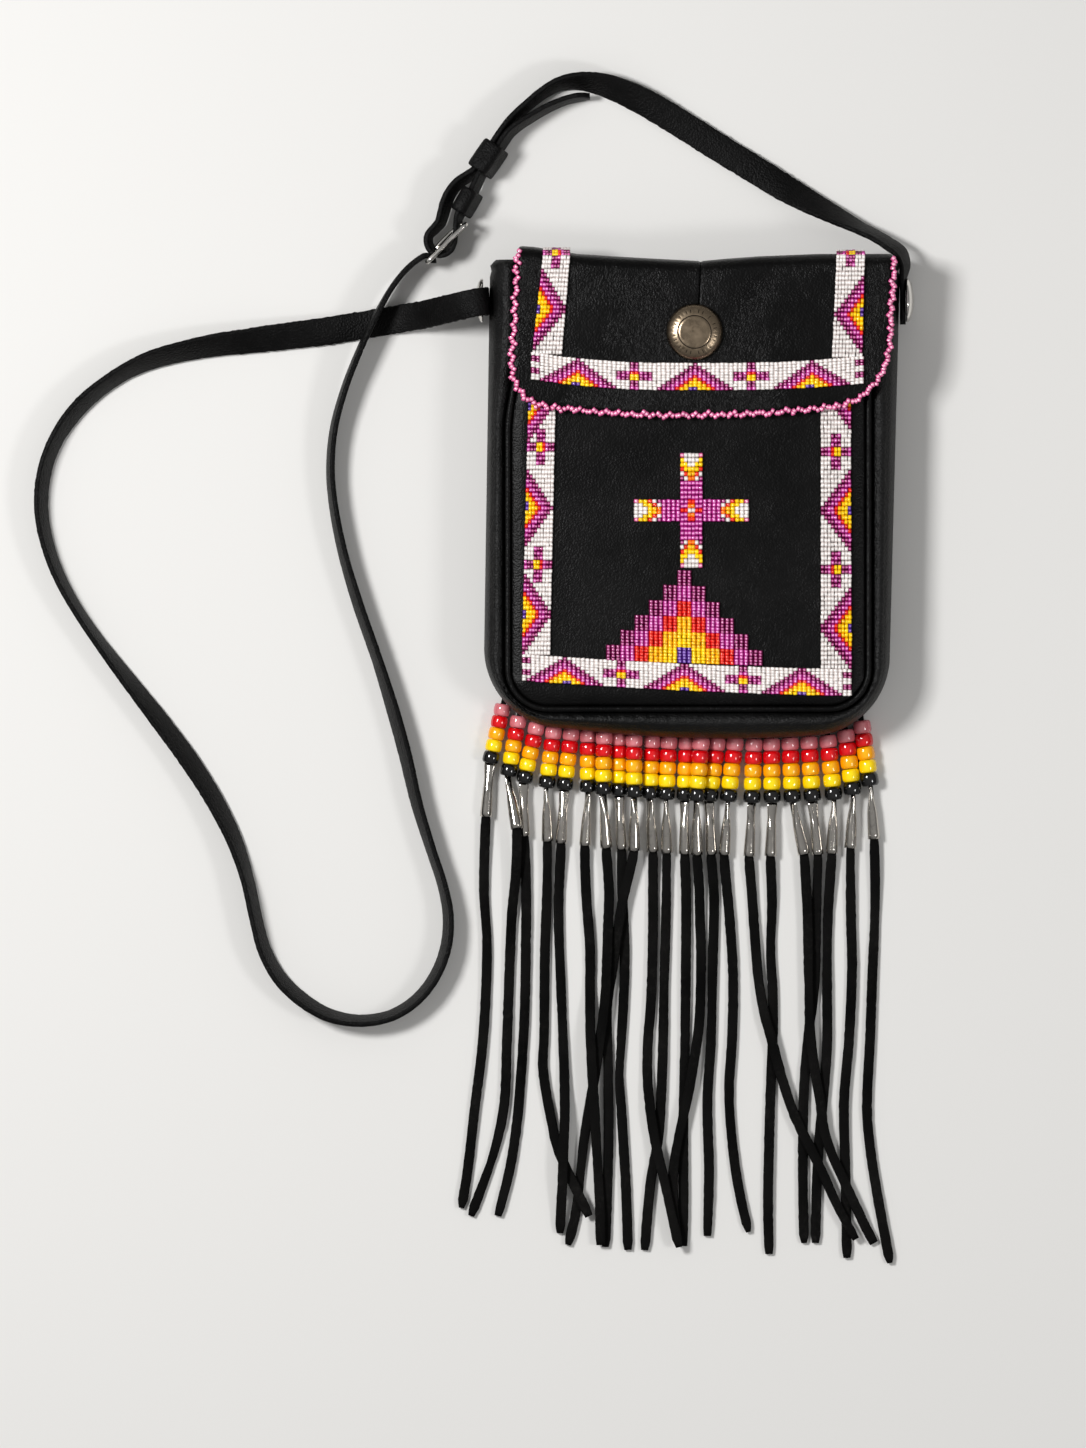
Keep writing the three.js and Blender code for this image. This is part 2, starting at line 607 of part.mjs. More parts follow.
// The buckle length: off the left side, round the floor and hooked over the buckle's end bar
const STRAP_LEFT_ROUTE = [
  [strapLeftX, 96.5, 7, 0], [strapLeftX, 96.5, 14, 0], [strapLeftX, 96.5, 22, 0],
  [strapLeftX, 96.4, 29.6, 0], [-104.8, 96.2, 33.4, 0], [-108.5, 95.8, 35, 0], [-113.5, 94.7, 33.6, 0],
  [-120, 93.2, 28.5, 0], [-127.5, 91.5, 20.5, 0], [-136, 89.7, 11, 0], [-145, 88.3, 4.6, 0],
  [-155, 86.6, 2.1, 0], [-168, 84.4, 1.9, -2], [-182, 82.1, 2.6, -8], [-202, 79.5, 3.9, -20],
  [-222, 77, 5.1, -32], [-240, 74.7, 6, -42], [-256.5, 71.4, 6.6, -51], [-270, 67.7, 6.9, -55],
  [-282, 62.5, 7.2, -62], [-293, 55.6, 7.2, -64], [-303.3, 47.3, 7.2, -62], [-312, 37.5, 7.2, -63],
  [-318.6, 27, 7.3, -67], [-323.2, 15.5, 7.3, -68], [-325.6, 2, 7.3, -68], [-325.3, -12, 7.3, -69],
  [-321.7, -28, 7.4, -71], [-316, -42.5, 7.4, -73], [-308, -57, 7.4, -75], [-297.5, -72.5, 7.4, -73],
  [-282.3, -92.5, 7.2, -64], [-266.8, -112.5, 6.9, -56], [-252, -132.5, 6.8, -54],
  [-239.3, -152.5, 6.9, -57], [-229.3, -172.5, 7.2, -63], [-222.7, -192.5, 7.4, -70],
  [-218.3, -212.5, 7.4, -71], [-214, -228, 7.4, -69], [-206.5, -241.5, 7.3, -67],
  [-196, -251.8, 7.3, -67], [-182.5, -259.8, 7.4, -69], [-167, -262.8, 7.4, -73],
  [-151, -260.2, 7.4, -74], [-138, -252, 7.4, -74], [-128.5, -239.5, 7.4, -74], [-123.3, -225, 7.4, -74],
  [-122.4, -210, 7.4, -75], [-125.2, -195, 7.4, -77], [-130.9, -177.5, 7.4, -77], [-138, -154.5, 7.4, -73],
  [-143.8, -130, 7.4, -70], [-150, -107.5, 7.4, -70], [-157.8, -82.5, 7.4, -75], [-168, -53, 7.4, -75],
  [-175.5, -27, 7.5, -78], [-180, -3, 7.5, -80], [-181.2, 14, 7.6, -81], [-179.5, 33, 8.4, -82],
  [-174.3, 52.5, 9.8, -83], [-166.7, 72, 11.4, -84], [-157, 92.2, 11.8, -86], [-150.5, 103.5, 11.2, -88],
  [-144.2, 111.6, 10.5, -90], [-139.6, 115.9, BUCKLE_Z, -90], [-136.4, 118.2, BUCKLE_Z, -90],
  [-134.4, 119.4, BUCKLE_Z, -90], [-132.4, 119.5, BUCKLE_Z, -90], [-130.5, 118.3, BUCKLE_Z, -90],
  [-129.8, 117.1, BUCKLE_Z, -90], [-129.7, 115.8, BUCKLE_Z, -90],
];

// The tongue length: off the right side, round the buckle's bar and back through both keepers
const tongueTilt = KEEPER_TILT - 180;
const STRAP_RIGHT_ROUTE = [
  [strapRightX, 85, sideButtonZ, 90], [strapRightX, 97, sideButtonZ, 90],
  [strapRightX + 0.1, 108.2, 17.3, 90], [strapRightX + 0.8, 114.8, 17, 88], [103.2, 121, 16, 85],
  [97.5, 125.4, 15, 81], [91, 129.4, 13.4, 76], [83.5, 133.1, 11.6, 69], [73.5, 138.3, 9.4, 57],
  [63.5, 143.5, 7.4, 44], [53.5, 149, 5.6, 30], [43.5, 154.8, 4.2, 15], [33.5, 161, 3.2, 5],
  [13.5, 173.2, 2.4, 0], [-6.5, 185.8, 2.5, -4], [-17, 192.2, 3.2, -9], [-27, 197.7, 4.4, -19],
  [-37, 202.2, 5.7, -32], [-47, 205.5, 6.7, -44], [-57, 206.8, 7.5, -58], [-66.5, 205.4, 8.1, -68],
  [-75.3, 200.6, 8.6, -73], [-82, 195.2, 9, -75], [-87.7, 190.1, 9.6, -KEEPER_TILT],
  [-91.4, 186.2, 10.3, -KEEPER_TILT], [-94.57, 182.02, 10.7, -KEEPER_TILT],
  [-99.1, 175.42, 10.7, -KEEPER_TILT], [-103.63, 168.83, 10.7, -KEEPER_TILT],
  [-108.16, 162.24, 10.7, -KEEPER_TILT], [-112.5, 159, 10.6, -76], [-117.2, 155.8, 10.6, -77],
  [-121, 151, 10.5, -79], [-123.2, 146.3, 10.4, -82], [-124.6, 141.3, BUCKLE_Z, -86],
  [-126.4, 136.7, BUCKLE_Z, -90], [-129.8, 133.3, BUCKLE_Z, -90], [-132.6, 130.2, BUCKLE_Z, -90],
  [-133.2, 126.8, BUCKLE_Z, -90], [-131.3, 123.5, BUCKLE_Z, -90], [-128, 120.8, BUCKLE_Z, -90],
  [-124.8, 119.8, BUCKLE_Z, -90], [-121, 122.2, BUCKLE_Z, -90], [-119.1, 126.7, BUCKLE_Z, -90],
  [-118.7, 130, BUCKLE_Z, -91], [-117.8, 135.2, BUCKLE_Z, -97], [-116.15, 140.57, 10.7, tongueTilt],
  [-112.9, 146.2, 10.7, tongueTilt], [-109.65, 151.83, 10.7, tongueTilt], [-107.6, 156.2, 10.7, tongueTilt],
  [-105.6, 160.48, 10.7, tongueTilt], [-101.07, 167.07, 10.7, tongueTilt],
  [-96.54, 173.66, 10.7, tongueTilt], [-92.01, 180.26, 10.7, tongueTilt], [-88.3, 183.7, 10.3, -104],
  [-84, 186.6, 9.6, -103], [-78.5, 190, 8.9, -102], [-74, 192.6, 8.4, -102], [-69, 195, 8, -101],
  [-62.5, 197.5, 7.7, -100], [-56, 198.8, 7.6, -100], [-51.5, 199.1, 7.6, -100],
];

// Buckle frame with its middle bar, standing on edge round the strap
const buckleTurn = degToRad(BUCKLE_TURN);
const buckleAlong = new THREE.Vector3(Math.cos(buckleTurn), Math.sin(buckleTurn), 0);
const buckleOut = new THREE.Vector3(Math.sin(buckleTurn), -Math.cos(buckleTurn), 0);
const buckleUp = new THREE.Vector3(0, 0, 1);
const buckleHeight = STRAP_WIDTH + 2 * BUCKLE_PLAY + 2 * BUCKLE_WIRE;
const halfLength = BUCKLE_LENGTH / 2;
const halfHeight = buckleHeight / 2;
const frameCorner = 3;

function rectangle(fromX, toX, fromY, toY) {
  return [[fromX, fromY], [toX, fromY], [toX, toY], [fromX, toY]];
}

const frameShape = shapeOf([
  [-halfLength + frameCorner, -halfHeight], [halfLength - frameCorner, -halfHeight],
  [halfLength - 0.9, -halfHeight + 0.9], [halfLength, -halfHeight + frameCorner],
  [halfLength, halfHeight - frameCorner], [halfLength - 0.9, halfHeight - 0.9],
  [halfLength - frameCorner, halfHeight], [-halfLength + frameCorner, halfHeight],
  [-halfLength + 0.9, halfHeight - 0.9], [-halfLength, halfHeight - frameCorner],
  [-halfLength, -halfHeight + frameCorner], [-halfLength + 0.9, -halfHeight + 0.9],
]);
const innerHalf = halfHeight - BUCKLE_WIRE;
const barHalf = BUCKLE_WIRE / 2;
const nearWindow = rectangle(-halfLength + BUCKLE_WIRE, BUCKLE_BAR_AT - barHalf, -innerHalf, innerHalf);
const farWindow = rectangle(BUCKLE_BAR_AT + barHalf, halfLength - BUCKLE_WIRE, -innerHalf, innerHalf);
const frameBlank = solidOf(plate(frameShape, -barHalf, barHalf));
const nearCut = solidOf(plate(shapeOf(nearWindow), -BUCKLE_WIRE, BUCKLE_WIRE));
const farCut = solidOf(plate(shapeOf(farWindow), -BUCKLE_WIRE, BUCKLE_WIRE));
const buckleFrame = geometryOf(frameBlank.subtract(nearCut).subtract(farCut));
buckleFrame.applyMatrix4(new THREE.Matrix4().makeBasis(buckleAlong, buckleUp, buckleOut));
buckleFrame.translate(BUCKLE_X, BUCKLE_Y, BUCKLE_Z);
addPiece("buckle_frame", buckleFrame, "silver");

// Prong: an eye round the bar and an arm that rests on the far end of the frame
function prongSolid(play) {
  const eyeInner = barHalf * Math.SQRT2 + GAP;
  const eyeOuter = eyeInner + PRONG_THICKNESS + play;
  const halfWidth = PRONG_WIDTH / 2 + play;
  const armLow = barHalf + GAP - play;
  const armHigh = barHalf + GAP + PRONG_THICKNESS + play;
  const eye = turned([
    [eyeInner, -halfWidth], [eyeOuter, -halfWidth], [eyeOuter, halfWidth], [eyeInner, halfWidth],
    [eyeInner, -halfWidth],
  ], 12);
  const armReach = halfLength - BUCKLE_BAR_AT - PRONG_SHORT + play;
  const arm = plate(shapeOf(rectangle(0, armReach, armLow, armHigh)), -halfWidth, halfWidth);
  const boreHalf = halfWidth + 1;
  const bore = turned([[0, -boreHalf], [eyeInner, -boreHalf], [eyeInner, boreHalf], [0, boreHalf]], 12);
  const whole = solidOf(eye).add(solidOf(arm).subtract(solidOf(bore)));
  const geometry = geometryOf(whole);
  geometry.translate(BUCKLE_BAR_AT, 0, 0);
  geometry.applyMatrix4(new THREE.Matrix4().makeBasis(buckleAlong, buckleOut.clone().negate(), buckleUp));
  geometry.translate(BUCKLE_X, BUCKLE_Y, BUCKLE_Z);
  return geometry;
}

addPiece("buckle_prong", prongSolid(0), "silver");
const prongRoom = solidOf(prongSolid(PRONG_PLAY));

// Straps, holed for the side buttons and the prong
function strapLength(name, route, buttonX) {
  const whole = solidOf(band(route, STRAP_WIDTH, STRAP_THICKNESS, STRAP_CHAMFER, route.length - 1));
  addPiece(name, geometryOf(whole.subtract(holeAcross(buttonX)).subtract(prongRoom)), "leather");
}

strapLength("strap_left", STRAP_LEFT_ROUTE, strapLeftX);
strapLength("strap_right", STRAP_RIGHT_ROUTE, strapRightX);

// Domed side buttons with rivet posts, and the washers inside the gusset
function sideButtons(side, sideX, seamX) {
  const outward = side === "left" ? -1 : 1;
  const wall = Math.abs(sideX - seamX) * (leatherShare + 0.06);
  const capBase = GAP + STRAP_THICKNESS + GAP;
  const postEnd = -wall - GAP - WASHER_THICKNESS;
  const start = new THREE.Vector3(sideX, SIDE_BUTTON_Y, sideButtonZ);
  const direction = new THREE.Vector3(outward, 0, 0);
  const cap = turned([
    [0, postEnd], [SIDE_POST, postEnd], [SIDE_POST, capBase], [SIDE_BUTTON_RADIUS - 0.4, capBase],
    [SIDE_BUTTON_RADIUS, capBase + 0.6], [SIDE_BUTTON_RADIUS * 0.85, capBase + SIDE_BUTTON_HEIGHT * 0.55],
    [SIDE_BUTTON_RADIUS * 0.5, capBase + SIDE_BUTTON_HEIGHT * 0.9], [0, capBase + SIDE_BUTTON_HEIGHT],
  ], 16);
  addPiece(`strap_button_${side}`, aimed(cap, start, direction), "silver");
  const bore = SIDE_POST + GAP;
  const washerTop = -wall - GAP;
  const washer = turned([
    [bore, postEnd], [WASHER_RADIUS, postEnd], [WASHER_RADIUS, washerTop], [bore, washerTop],
    [bore, postEnd],
  ], 14);
  addPiece(`rivet_washer_${side}`, aimed(washer, start, direction), "silver");
}

sideButtons("left", sideLeftX, sideAt(seamOutline, SIDE_BUTTON_Y, false));
sideButtons("right", sideRightX, sideAt(seamOutline, SIDE_BUTTON_Y, true));

// Keepers: short sleeves round one or two layers of strap
function keeper(name, layers, length, at, headingDegrees) {
  const halfT = (STRAP_THICKNESS + (layers - 1) * STRAP_PAIR_PITCH) / 2 + KEEPER_PLAY;
  const halfW = STRAP_WIDTH / 2 + KEEPER_PLAY;
  const outW = halfW + KEEPER_WALL;
  const outT = halfT + KEEPER_WALL;
  const outer = shapeOf(rectangle(-outW, outW, -outT, outT));
  outer.holes.push(new THREE.Path(shapeOf(rectangle(-halfW, halfW, -halfT, halfT)).getPoints().reverse()));
  const sleeve = plate(outer, -length / 2, length / 2);
  const heading = degToRad(headingDegrees);
  const roll = degToRad(KEEPER_TILT);
  const along = new THREE.Vector3(Math.cos(heading), Math.sin(heading), 0);
  const level = new THREE.Vector3(-Math.sin(heading), Math.cos(heading), 0);
  const across = level.clone().multiplyScalar(Math.cos(roll)).add(new THREE.Vector3(0, 0, Math.sin(roll)));
  const out = new THREE.Vector3().crossVectors(along, across);
  sleeve.applyMatrix4(new THREE.Matrix4().makeBasis(across, out, along));
  sleeve.translate(at[0], at[1], at[2]);
  addPiece(name, sleeve, "leather");
}

keeper("keeper_fixed", 1, FIXED_KEEPER_LENGTH, FIXED_KEEPER_AT, FIXED_KEEPER_HEADING);
keeper("keeper_sliding", 2, SLIDE_KEEPER_LENGTH, SLIDE_KEEPER_AT, SLIDE_KEEPER_HEADING);

// Fringe strands: place along the lower edge, leans and lifts of beads and cone, and the thong's route
const z = THONG_Z;
const STRANDS = [
  { x: -94.8, drop: 1.5, lean: -0.23, coneLean: -0.07, lift: 0, coneLift: 0, route: [
    [-104.5, -197.5, z], [-103, -225.5, z], [-105, -272, z], [-109, -305.5, z], [-113, -340, z],
    [-115.8, -356.5, z],
  ] },
  { x: -86.9, drop: 0.5, lean: -0.19, coneLean: 0.17, lift: 0, coneLift: 5.4, route: [
    [-88.5, -188, 4.6], [-90.5, -209, 1.6], [-91.5, -231, z], [-93, -272, z], [-94.5, -305.5, z],
    [-99.5, -328.5, z], [-111, -360.5, z],
  ] },
  { x: -77.8, drop: 0.5, lean: -0.23, coneLean: 0.01, lift: 0, coneLift: 0, route: [
    [-83.5, -192.5, z], [-83.5, -216.5, z], [-84, -253, z], [-84.8, -271.5, z], [-88, -313.5, z],
    [-91.5, -336.5, z], [-97.5, -360.5, z],
  ] },
  { x: -69.4, drop: 0.5, lean: -0.13, coneLean: 0.02, lift: 0, coneLift: 0, route: [
    [-73, -198, z], [-74, -227.5, z], [-74.5, -272, z], [-75, -286.5, z], [-71, -311.5, z],
    [-67.5, -327, 1.6], [-62.5, -338.5, 3.6], [-57.5, -349, 4.2], [-52, -360.5, 3.9],
  ] },
  { x: -60.6, drop: 0.5, lean: -0.12, coneLean: -0.06, lift: 0, coneLift: 0, route: [
    [-67, -197.5, z], [-67.2, -213, z], [-66, -246, z], [-65, -272, z], [-64.2, -295, 2],
    [-64.2, -312.5, 5.6], [-64.8, -327.5, 6.6], [-65.2, -342.5, 6.4], [-66, -357.5, 3], [-66.5, -369, z],
  ] },
  { x: -52.5, drop: 0.5, lean: 0, coneLean: -0.06, lift: 0, coneLift: 0, route: [
    [-53.5, -198, z], [-51.5, -227.5, z], [-51.5, -247.5, 1.4], [-51.4, -265, 4.8], [-51, -277.5, 6.5],
    [-50.2, -292.5, 6.8], [-49.2, -307.5, 6.4], [-48.5, -322.5, 5], [-47.5, -338.5, 3.8],
    [-46.5, -357.5, 3.8], [-46.2, -375, 3.7],
  ] },
  { x: -44.4, drop: 0.5, lean: -0.02, coneLean: 0.06, lift: 4.4, coneLift: 0.8, route: [
    [-42, -198.5, 1.8], [-42.5, -215, 5.4], [-43, -231, 6.4], [-44, -252.5, 5], [-46.8, -275, 3.7],
    [-49.5, -292.5, 3.2], [-52.5, -310, 1.8], [-54.5, -322.5, z], [-58.8, -359.5, z], [-62.5, -375, z],
  ] },
  { x: -37, drop: 0.5, lean: 0, coneLean: 0.05, lift: 0, coneLift: 0, route: [
    [-35.5, -197.5, z], [-34.5, -217.5, z], [-34.2, -238.5, z], [-35.8, -272, z], [-36.8, -290.5, z],
    [-35.8, -307.5, z], [-35, -321, z], [-33.5, -347.5, z], [-32.5, -377.5, z],
  ] },
  { x: -29.5, drop: 0.5, lean: 0, coneLean: 0, lift: 4.4, coneLift: 3, route: [
    [-31.5, -187.5, 4.8], [-35, -202, 4], [-38.5, -224, 3.8], [-40.2, -236.5, 3], [-42.8, -255, 1.3],
    [-42.5, -282.5, z], [-42.2, -321, z], [-43, -352.5, z], [-43.8, -376, z],
  ] },
  { x: -20.4, drop: 0.5, lean: -0.04, coneLean: 0.06, lift: 0, coneLift: 0, route: [
    [-20, -195, z], [-20, -216.5, z], [-21, -253, z], [-22.5, -272.5, z], [-22.8, -290, 1.6],
    [-21.2, -308.5, 3.8], [-18.5, -325, 4], [-15, -340, 5.8], [-11, -358.5, 6.6], [-7, -376, 6.2],
  ] },
  { x: -11.9, drop: 0.5, lean: -0.05, coneLean: 0.01, lift: 0, coneLift: 0, route: [
    [-13.5, -209, z], [-14.5, -246, z], [-15, -275, z], [-15.8, -297.5, z], [-17.2, -320, z],
    [-21.2, -344, z], [-24.2, -377.5, z],
  ] },
  { x: -2.9, drop: 0.5, lean: -0.04, coneLean: 0, lift: 0, coneLift: 0, route: [
    [-3.5, -197.5, z], [-3.5, -228.5, z], [-4, -272, z], [-4.8, -315.5, z], [-4.8, -355, z],
    [-5.2, -375.5, z],
  ] },
  { x: 4.2, drop: 0.5, lean: -0.08, coneLean: 0.01, lift: 5.6, coneLift: 3, route: [
    [3, -195, 3], [3.5, -212.5, 1.4], [4, -228.5, z], [3.2, -262.5, 1.3], [1.5, -276.5, 3.2],
    [-2.5, -300, 3.8], [-7.5, -322.5, 3.8], [-10, -340, 3.7], [-9.5, -360, 3.7], [-8, -370.5, 3.7],
  ] },
  { x: 12.4, drop: 0.5, lean: -0.14, coneLean: 0.04, lift: 0, coneLift: 0, route: [
    [10.5, -200.5, z], [9.8, -236.5, z], [9, -272, z], [7.2, -303.5, z], [8, -339, z], [7.2, -370.5, z],
  ] },
  { x: 21.3, drop: 0.5, lean: -0.12, coneLean: -0.07, lift: 0, coneLift: 0, route: [
    [17, -197.5, z], [18, -208.5, z], [20, -240, z], [19.5, -272, z], [18, -299.5, z], [20.5, -331.5, z],
    [24, -352.5, z], [27.8, -368.5, z],
  ] },
  { x: 30.6, drop: 1, lean: -0.04, coneLean: -0.05, lift: 0, coneLift: 0, route: [
    [29.5, -200, z], [30.5, -215, z], [32.8, -242.5, 1.8], [35.5, -258.5, 3.7], [40, -275, 3.9],
    [45, -293.5, 3.7], [51.5, -312, 3.8], [58.5, -326, 3.8], [65, -339.5, 3.8], [73.5, -358, 3.8],
    [81.5, -372, 3.7],
  ] },
  { x: 39.2, drop: 1, lean: 0.01, coneLean: -0.03, lift: 0, coneLift: 0, route: [
    [39.5, -204.5, z], [38.8, -228.5, z], [39.8, -247.5, z], [40, -265.5, z], [38.8, -298, z],
    [38, -326, z], [37.5, -353.5, z], [38, -379.5, z],
  ] },
  { x: 48.4, drop: 1, lean: 0.04, coneLean: 0.22, lift: 0, coneLift: 1.5, route: [
    [56.5, -195, 3.9], [57.2, -208.5, 3.8], [57.8, -242.5, 3.8], [58.5, -267.5, 3.8], [61, -288.5, 3.8],
    [63.5, -302.5, 3.8], [65.5, -317.5, 3.8], [69.8, -330.5, 3.8], [75.5, -343, 3.8], [82, -357, 3.4],
    [86.5, -366.5, 1.8], [90.5, -374, z],
  ] },
  { x: 57.8, drop: 1, lean: 0.06, coneLean: 0.1, lift: 0, coneLift: 0, route: [
    [62, -197.5, 1.4], [61.5, -212.5, z], [60.8, -244, z], [58, -267.5, z], [55.8, -291.5, z],
    [55, -317.5, z], [55, -347.5, z], [55.5, -374, z],
  ] },
  { x: 67.2, drop: 1, lean: 0.1, coneLean: -0.04, lift: 0, coneLift: 0, route: [
    [67.5, -210, z], [67, -244, z], [67, -275.5, z], [65, -302.5, z], [63, -323.5, z], [61.8, -347.5, z],
    [61.2, -374, z],
  ] },
  { x: 76.1, drop: 1, lean: 0.12, coneLean: -0.05, lift: 0, coneLift: 0, route: [
    [79, -212.5, z], [79.5, -236.5, z], [78, -272, z], [75.5, -303.5, z], [76.2, -339, z],
    [77, -381.5, z],
  ] },
  { x: 84.1, drop: 1, lean: 0.14, coneLean: 0.07, lift: 0, coneLift: 0, route: [
    [91, -204.5, z], [89.5, -244, z], [88.5, -272, z], [87, -307.5, z], [88.5, -326, z], [92, -349, z],
    [98.5, -384, z],
  ] },
];

const stackLength = BEADS_PER_STRAND * BEAD_LENGTH;
const stackProfile = [[0, 0], [BEAD_NECK, 0]];
for (let bead = 0; bead < BEADS_PER_STRAND; bead++) {
  stackProfile.push([BEAD_RADIUS, (bead + 0.28) * BEAD_LENGTH]);
  stackProfile.push([BEAD_RADIUS, (bead + 0.72) * BEAD_LENGTH]);
  stackProfile.push([BEAD_NECK, (bead + 1) * BEAD_LENGTH]);
}
stackProfile.push([0, stackLength]);

STRANDS.forEach((strand, i) => {
  const beadZ = FLOOR_GAP + BEAD_RADIUS + strand.lift;
  const top = new THREE.Vector3(strand.x, bottomAt(bodyOutline, strand.x) - GAP - strand.drop, beadZ);
  const stackWay = new THREE.Vector3(strand.lean, -1, 0).normalize();
  const stackEnd = top.clone().addScaledVector(stackWay, stackLength);
  const coneLay = new THREE.Vector3(strand.coneLean, -1, 0).normalize();
  const coneEnd = stackEnd.clone().addScaledVector(coneLay, CONE_LENGTH);
  coneEnd.z = FLOOR_GAP + CONE_END_RADIUS + strand.coneLift;
  const coneWay = coneEnd.clone().sub(stackEnd).normalize();
  const coneStart = stackEnd.clone().addScaledVector(coneWay, -0.6);
  const coneRun = coneStart.distanceTo(coneEnd);
  const stack = solidOf(aimed(turned(stackProfile, 6), top, stackWay));
  const coneProfile = [[0, 0], [CONE_TOP_RADIUS, 0], [CONE_END_RADIUS, coneRun], [0, coneRun]];
  const cone = solidOf(aimed(turned(coneProfile, 6), coneStart, coneWay));
  const inside = coneEnd.clone().addScaledVector(coneWay, -6);
  const route = [[inside.x, inside.y, inside.z], [coneEnd.x, coneEnd.y, coneEnd.z - 0.2], ...strand.route];
  const thong = solidOf(band(route, THONG_WIDTH, THONG_THICKNESS, 0, 2 * route.length - 2));
  const stubZ = beadZ + THONG_THICKNESS / 2;
  const edges = [-STUB_REACH, 0, STUB_REACH].map((side) => gussetEdgeY(strand.x + side, stubZ));
  const stubTop = [top.x, Math.min(...edges) - GAP, beadZ];
  const stubLow = [top.x + STUB_REACH * stackWay.x, top.y - STUB_REACH, beadZ];
  const stub = solidOf(band([stubLow, stubTop], STUB_WIDTH, THONG_THICKNESS, 0, 1));
  const number = String(i + 1).padStart(2, "0");
  addPiece(`fringe_strand_${number}`, geometryOf(stack.add(cone).add(thong).add(stub)), "suede");
});

export default bag;
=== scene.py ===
# Beaded fringe shoulder bag lying on its back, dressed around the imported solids, in metres
import math

import bmesh
import bpy
import numpy as np
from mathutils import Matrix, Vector, noise


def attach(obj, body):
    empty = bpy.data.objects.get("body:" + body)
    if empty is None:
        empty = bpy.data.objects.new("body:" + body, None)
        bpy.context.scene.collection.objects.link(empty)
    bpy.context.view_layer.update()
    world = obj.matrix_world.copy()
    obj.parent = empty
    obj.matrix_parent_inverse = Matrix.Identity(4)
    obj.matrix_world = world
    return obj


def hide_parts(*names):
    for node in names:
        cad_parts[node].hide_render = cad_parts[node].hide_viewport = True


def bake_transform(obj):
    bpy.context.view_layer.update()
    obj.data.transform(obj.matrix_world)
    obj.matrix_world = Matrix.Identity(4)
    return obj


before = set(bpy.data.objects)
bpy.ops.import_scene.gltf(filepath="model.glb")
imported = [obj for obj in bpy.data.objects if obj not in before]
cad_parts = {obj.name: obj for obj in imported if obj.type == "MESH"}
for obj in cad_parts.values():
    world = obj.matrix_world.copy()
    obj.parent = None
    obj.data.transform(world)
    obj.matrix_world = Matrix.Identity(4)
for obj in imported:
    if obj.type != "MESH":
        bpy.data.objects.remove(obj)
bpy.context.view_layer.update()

# Photograph frame and camera
PHOTO_WIDTH = 1086
PHOTO_HEIGHT = 1448
METRES_PER_PIXEL = 0.0005
ORIGIN_PIXEL = (693, 495)
CAMERA_HEIGHT = 14
SENSOR_HEIGHT = 36

# Shared thicknesses
GAP = 0.0003
LEATHER = 0.0022
FLOOR_GAP = 0.0003

# Front, flap and hinge levels
FRONT_Z = 0.036
FRONT_TOP_Y = 0.094
FLAP_MID_Z = 0.0395
FLAP_FACE_Z = FLAP_MID_Z + LEATHER / 2
HINGE_Y = 0.1195
FLAP_LEFT = -0.090
FLAP_RIGHT = 0.0965
FOLD_SEAM_X = 0.001

# Seed beads: length on the thread, radius, height of middle over the leather, row pitch, beads in a row
SEED_LENGTH = 0.00156
SEED_RADIUS = 0.00114
SEED_SUNK = 0.00092
ROW_PITCH = 0.00225
BEADS_ACROSS = 9

# Strap, fringe and hardware
STRAP_WIDTH = 0.014
STRAP_THICKNESS = 0.0026
PONY_RADIUS = 0.0043
PONY_PITCH = 0.0063
PONY_HOLE = 0.0016
CONE_LENGTH = 0.0265
CONE_END_RADIUS = 0.0029
THONG_WIDTH = 0.005
THONG_THICKNESS = 0.0018

# Outlines, open at the top: widest body, line of the fringe, front seam, front panel and flap
BODY_OUTLINE = dict(left_top=-0.1014, left_low=-0.1044, right_top=0.1034, right_low=0.0982,
                    bottom_left=-0.11663, bottom_right=-0.12037, sag=0.003, corner=0.040, top=0.1172)
FRINGE_OUTLINE = dict(BODY_OUTLINE, right_low=0.1004)
SEAM_OUTLINE = dict(left_top=-0.0943, left_low=-0.0943, right_top=0.0893, right_low=0.0893,
                    bottom_left=-0.1088, bottom_right=-0.1088, sag=0.0, corner=0.0218, top=0.1172)
FRONT_OUTLINE = dict(left_top=-0.0907, left_low=-0.0907, right_top=0.0857, right_low=0.0857,
                     bottom_left=-0.1052, bottom_right=-0.1052, sag=0.0, corner=0.0182, top=FRONT_TOP_Y)
FLAP_OUTLINE = dict(left_top=FLAP_LEFT, left_low=FLAP_LEFT, right_top=FLAP_RIGHT, right_low=FLAP_RIGHT,
                    bottom_left=0.044, bottom_right=0.044, sag=0.004, corner=0.021, corner_right=0.030,
                    top=HINGE_Y)

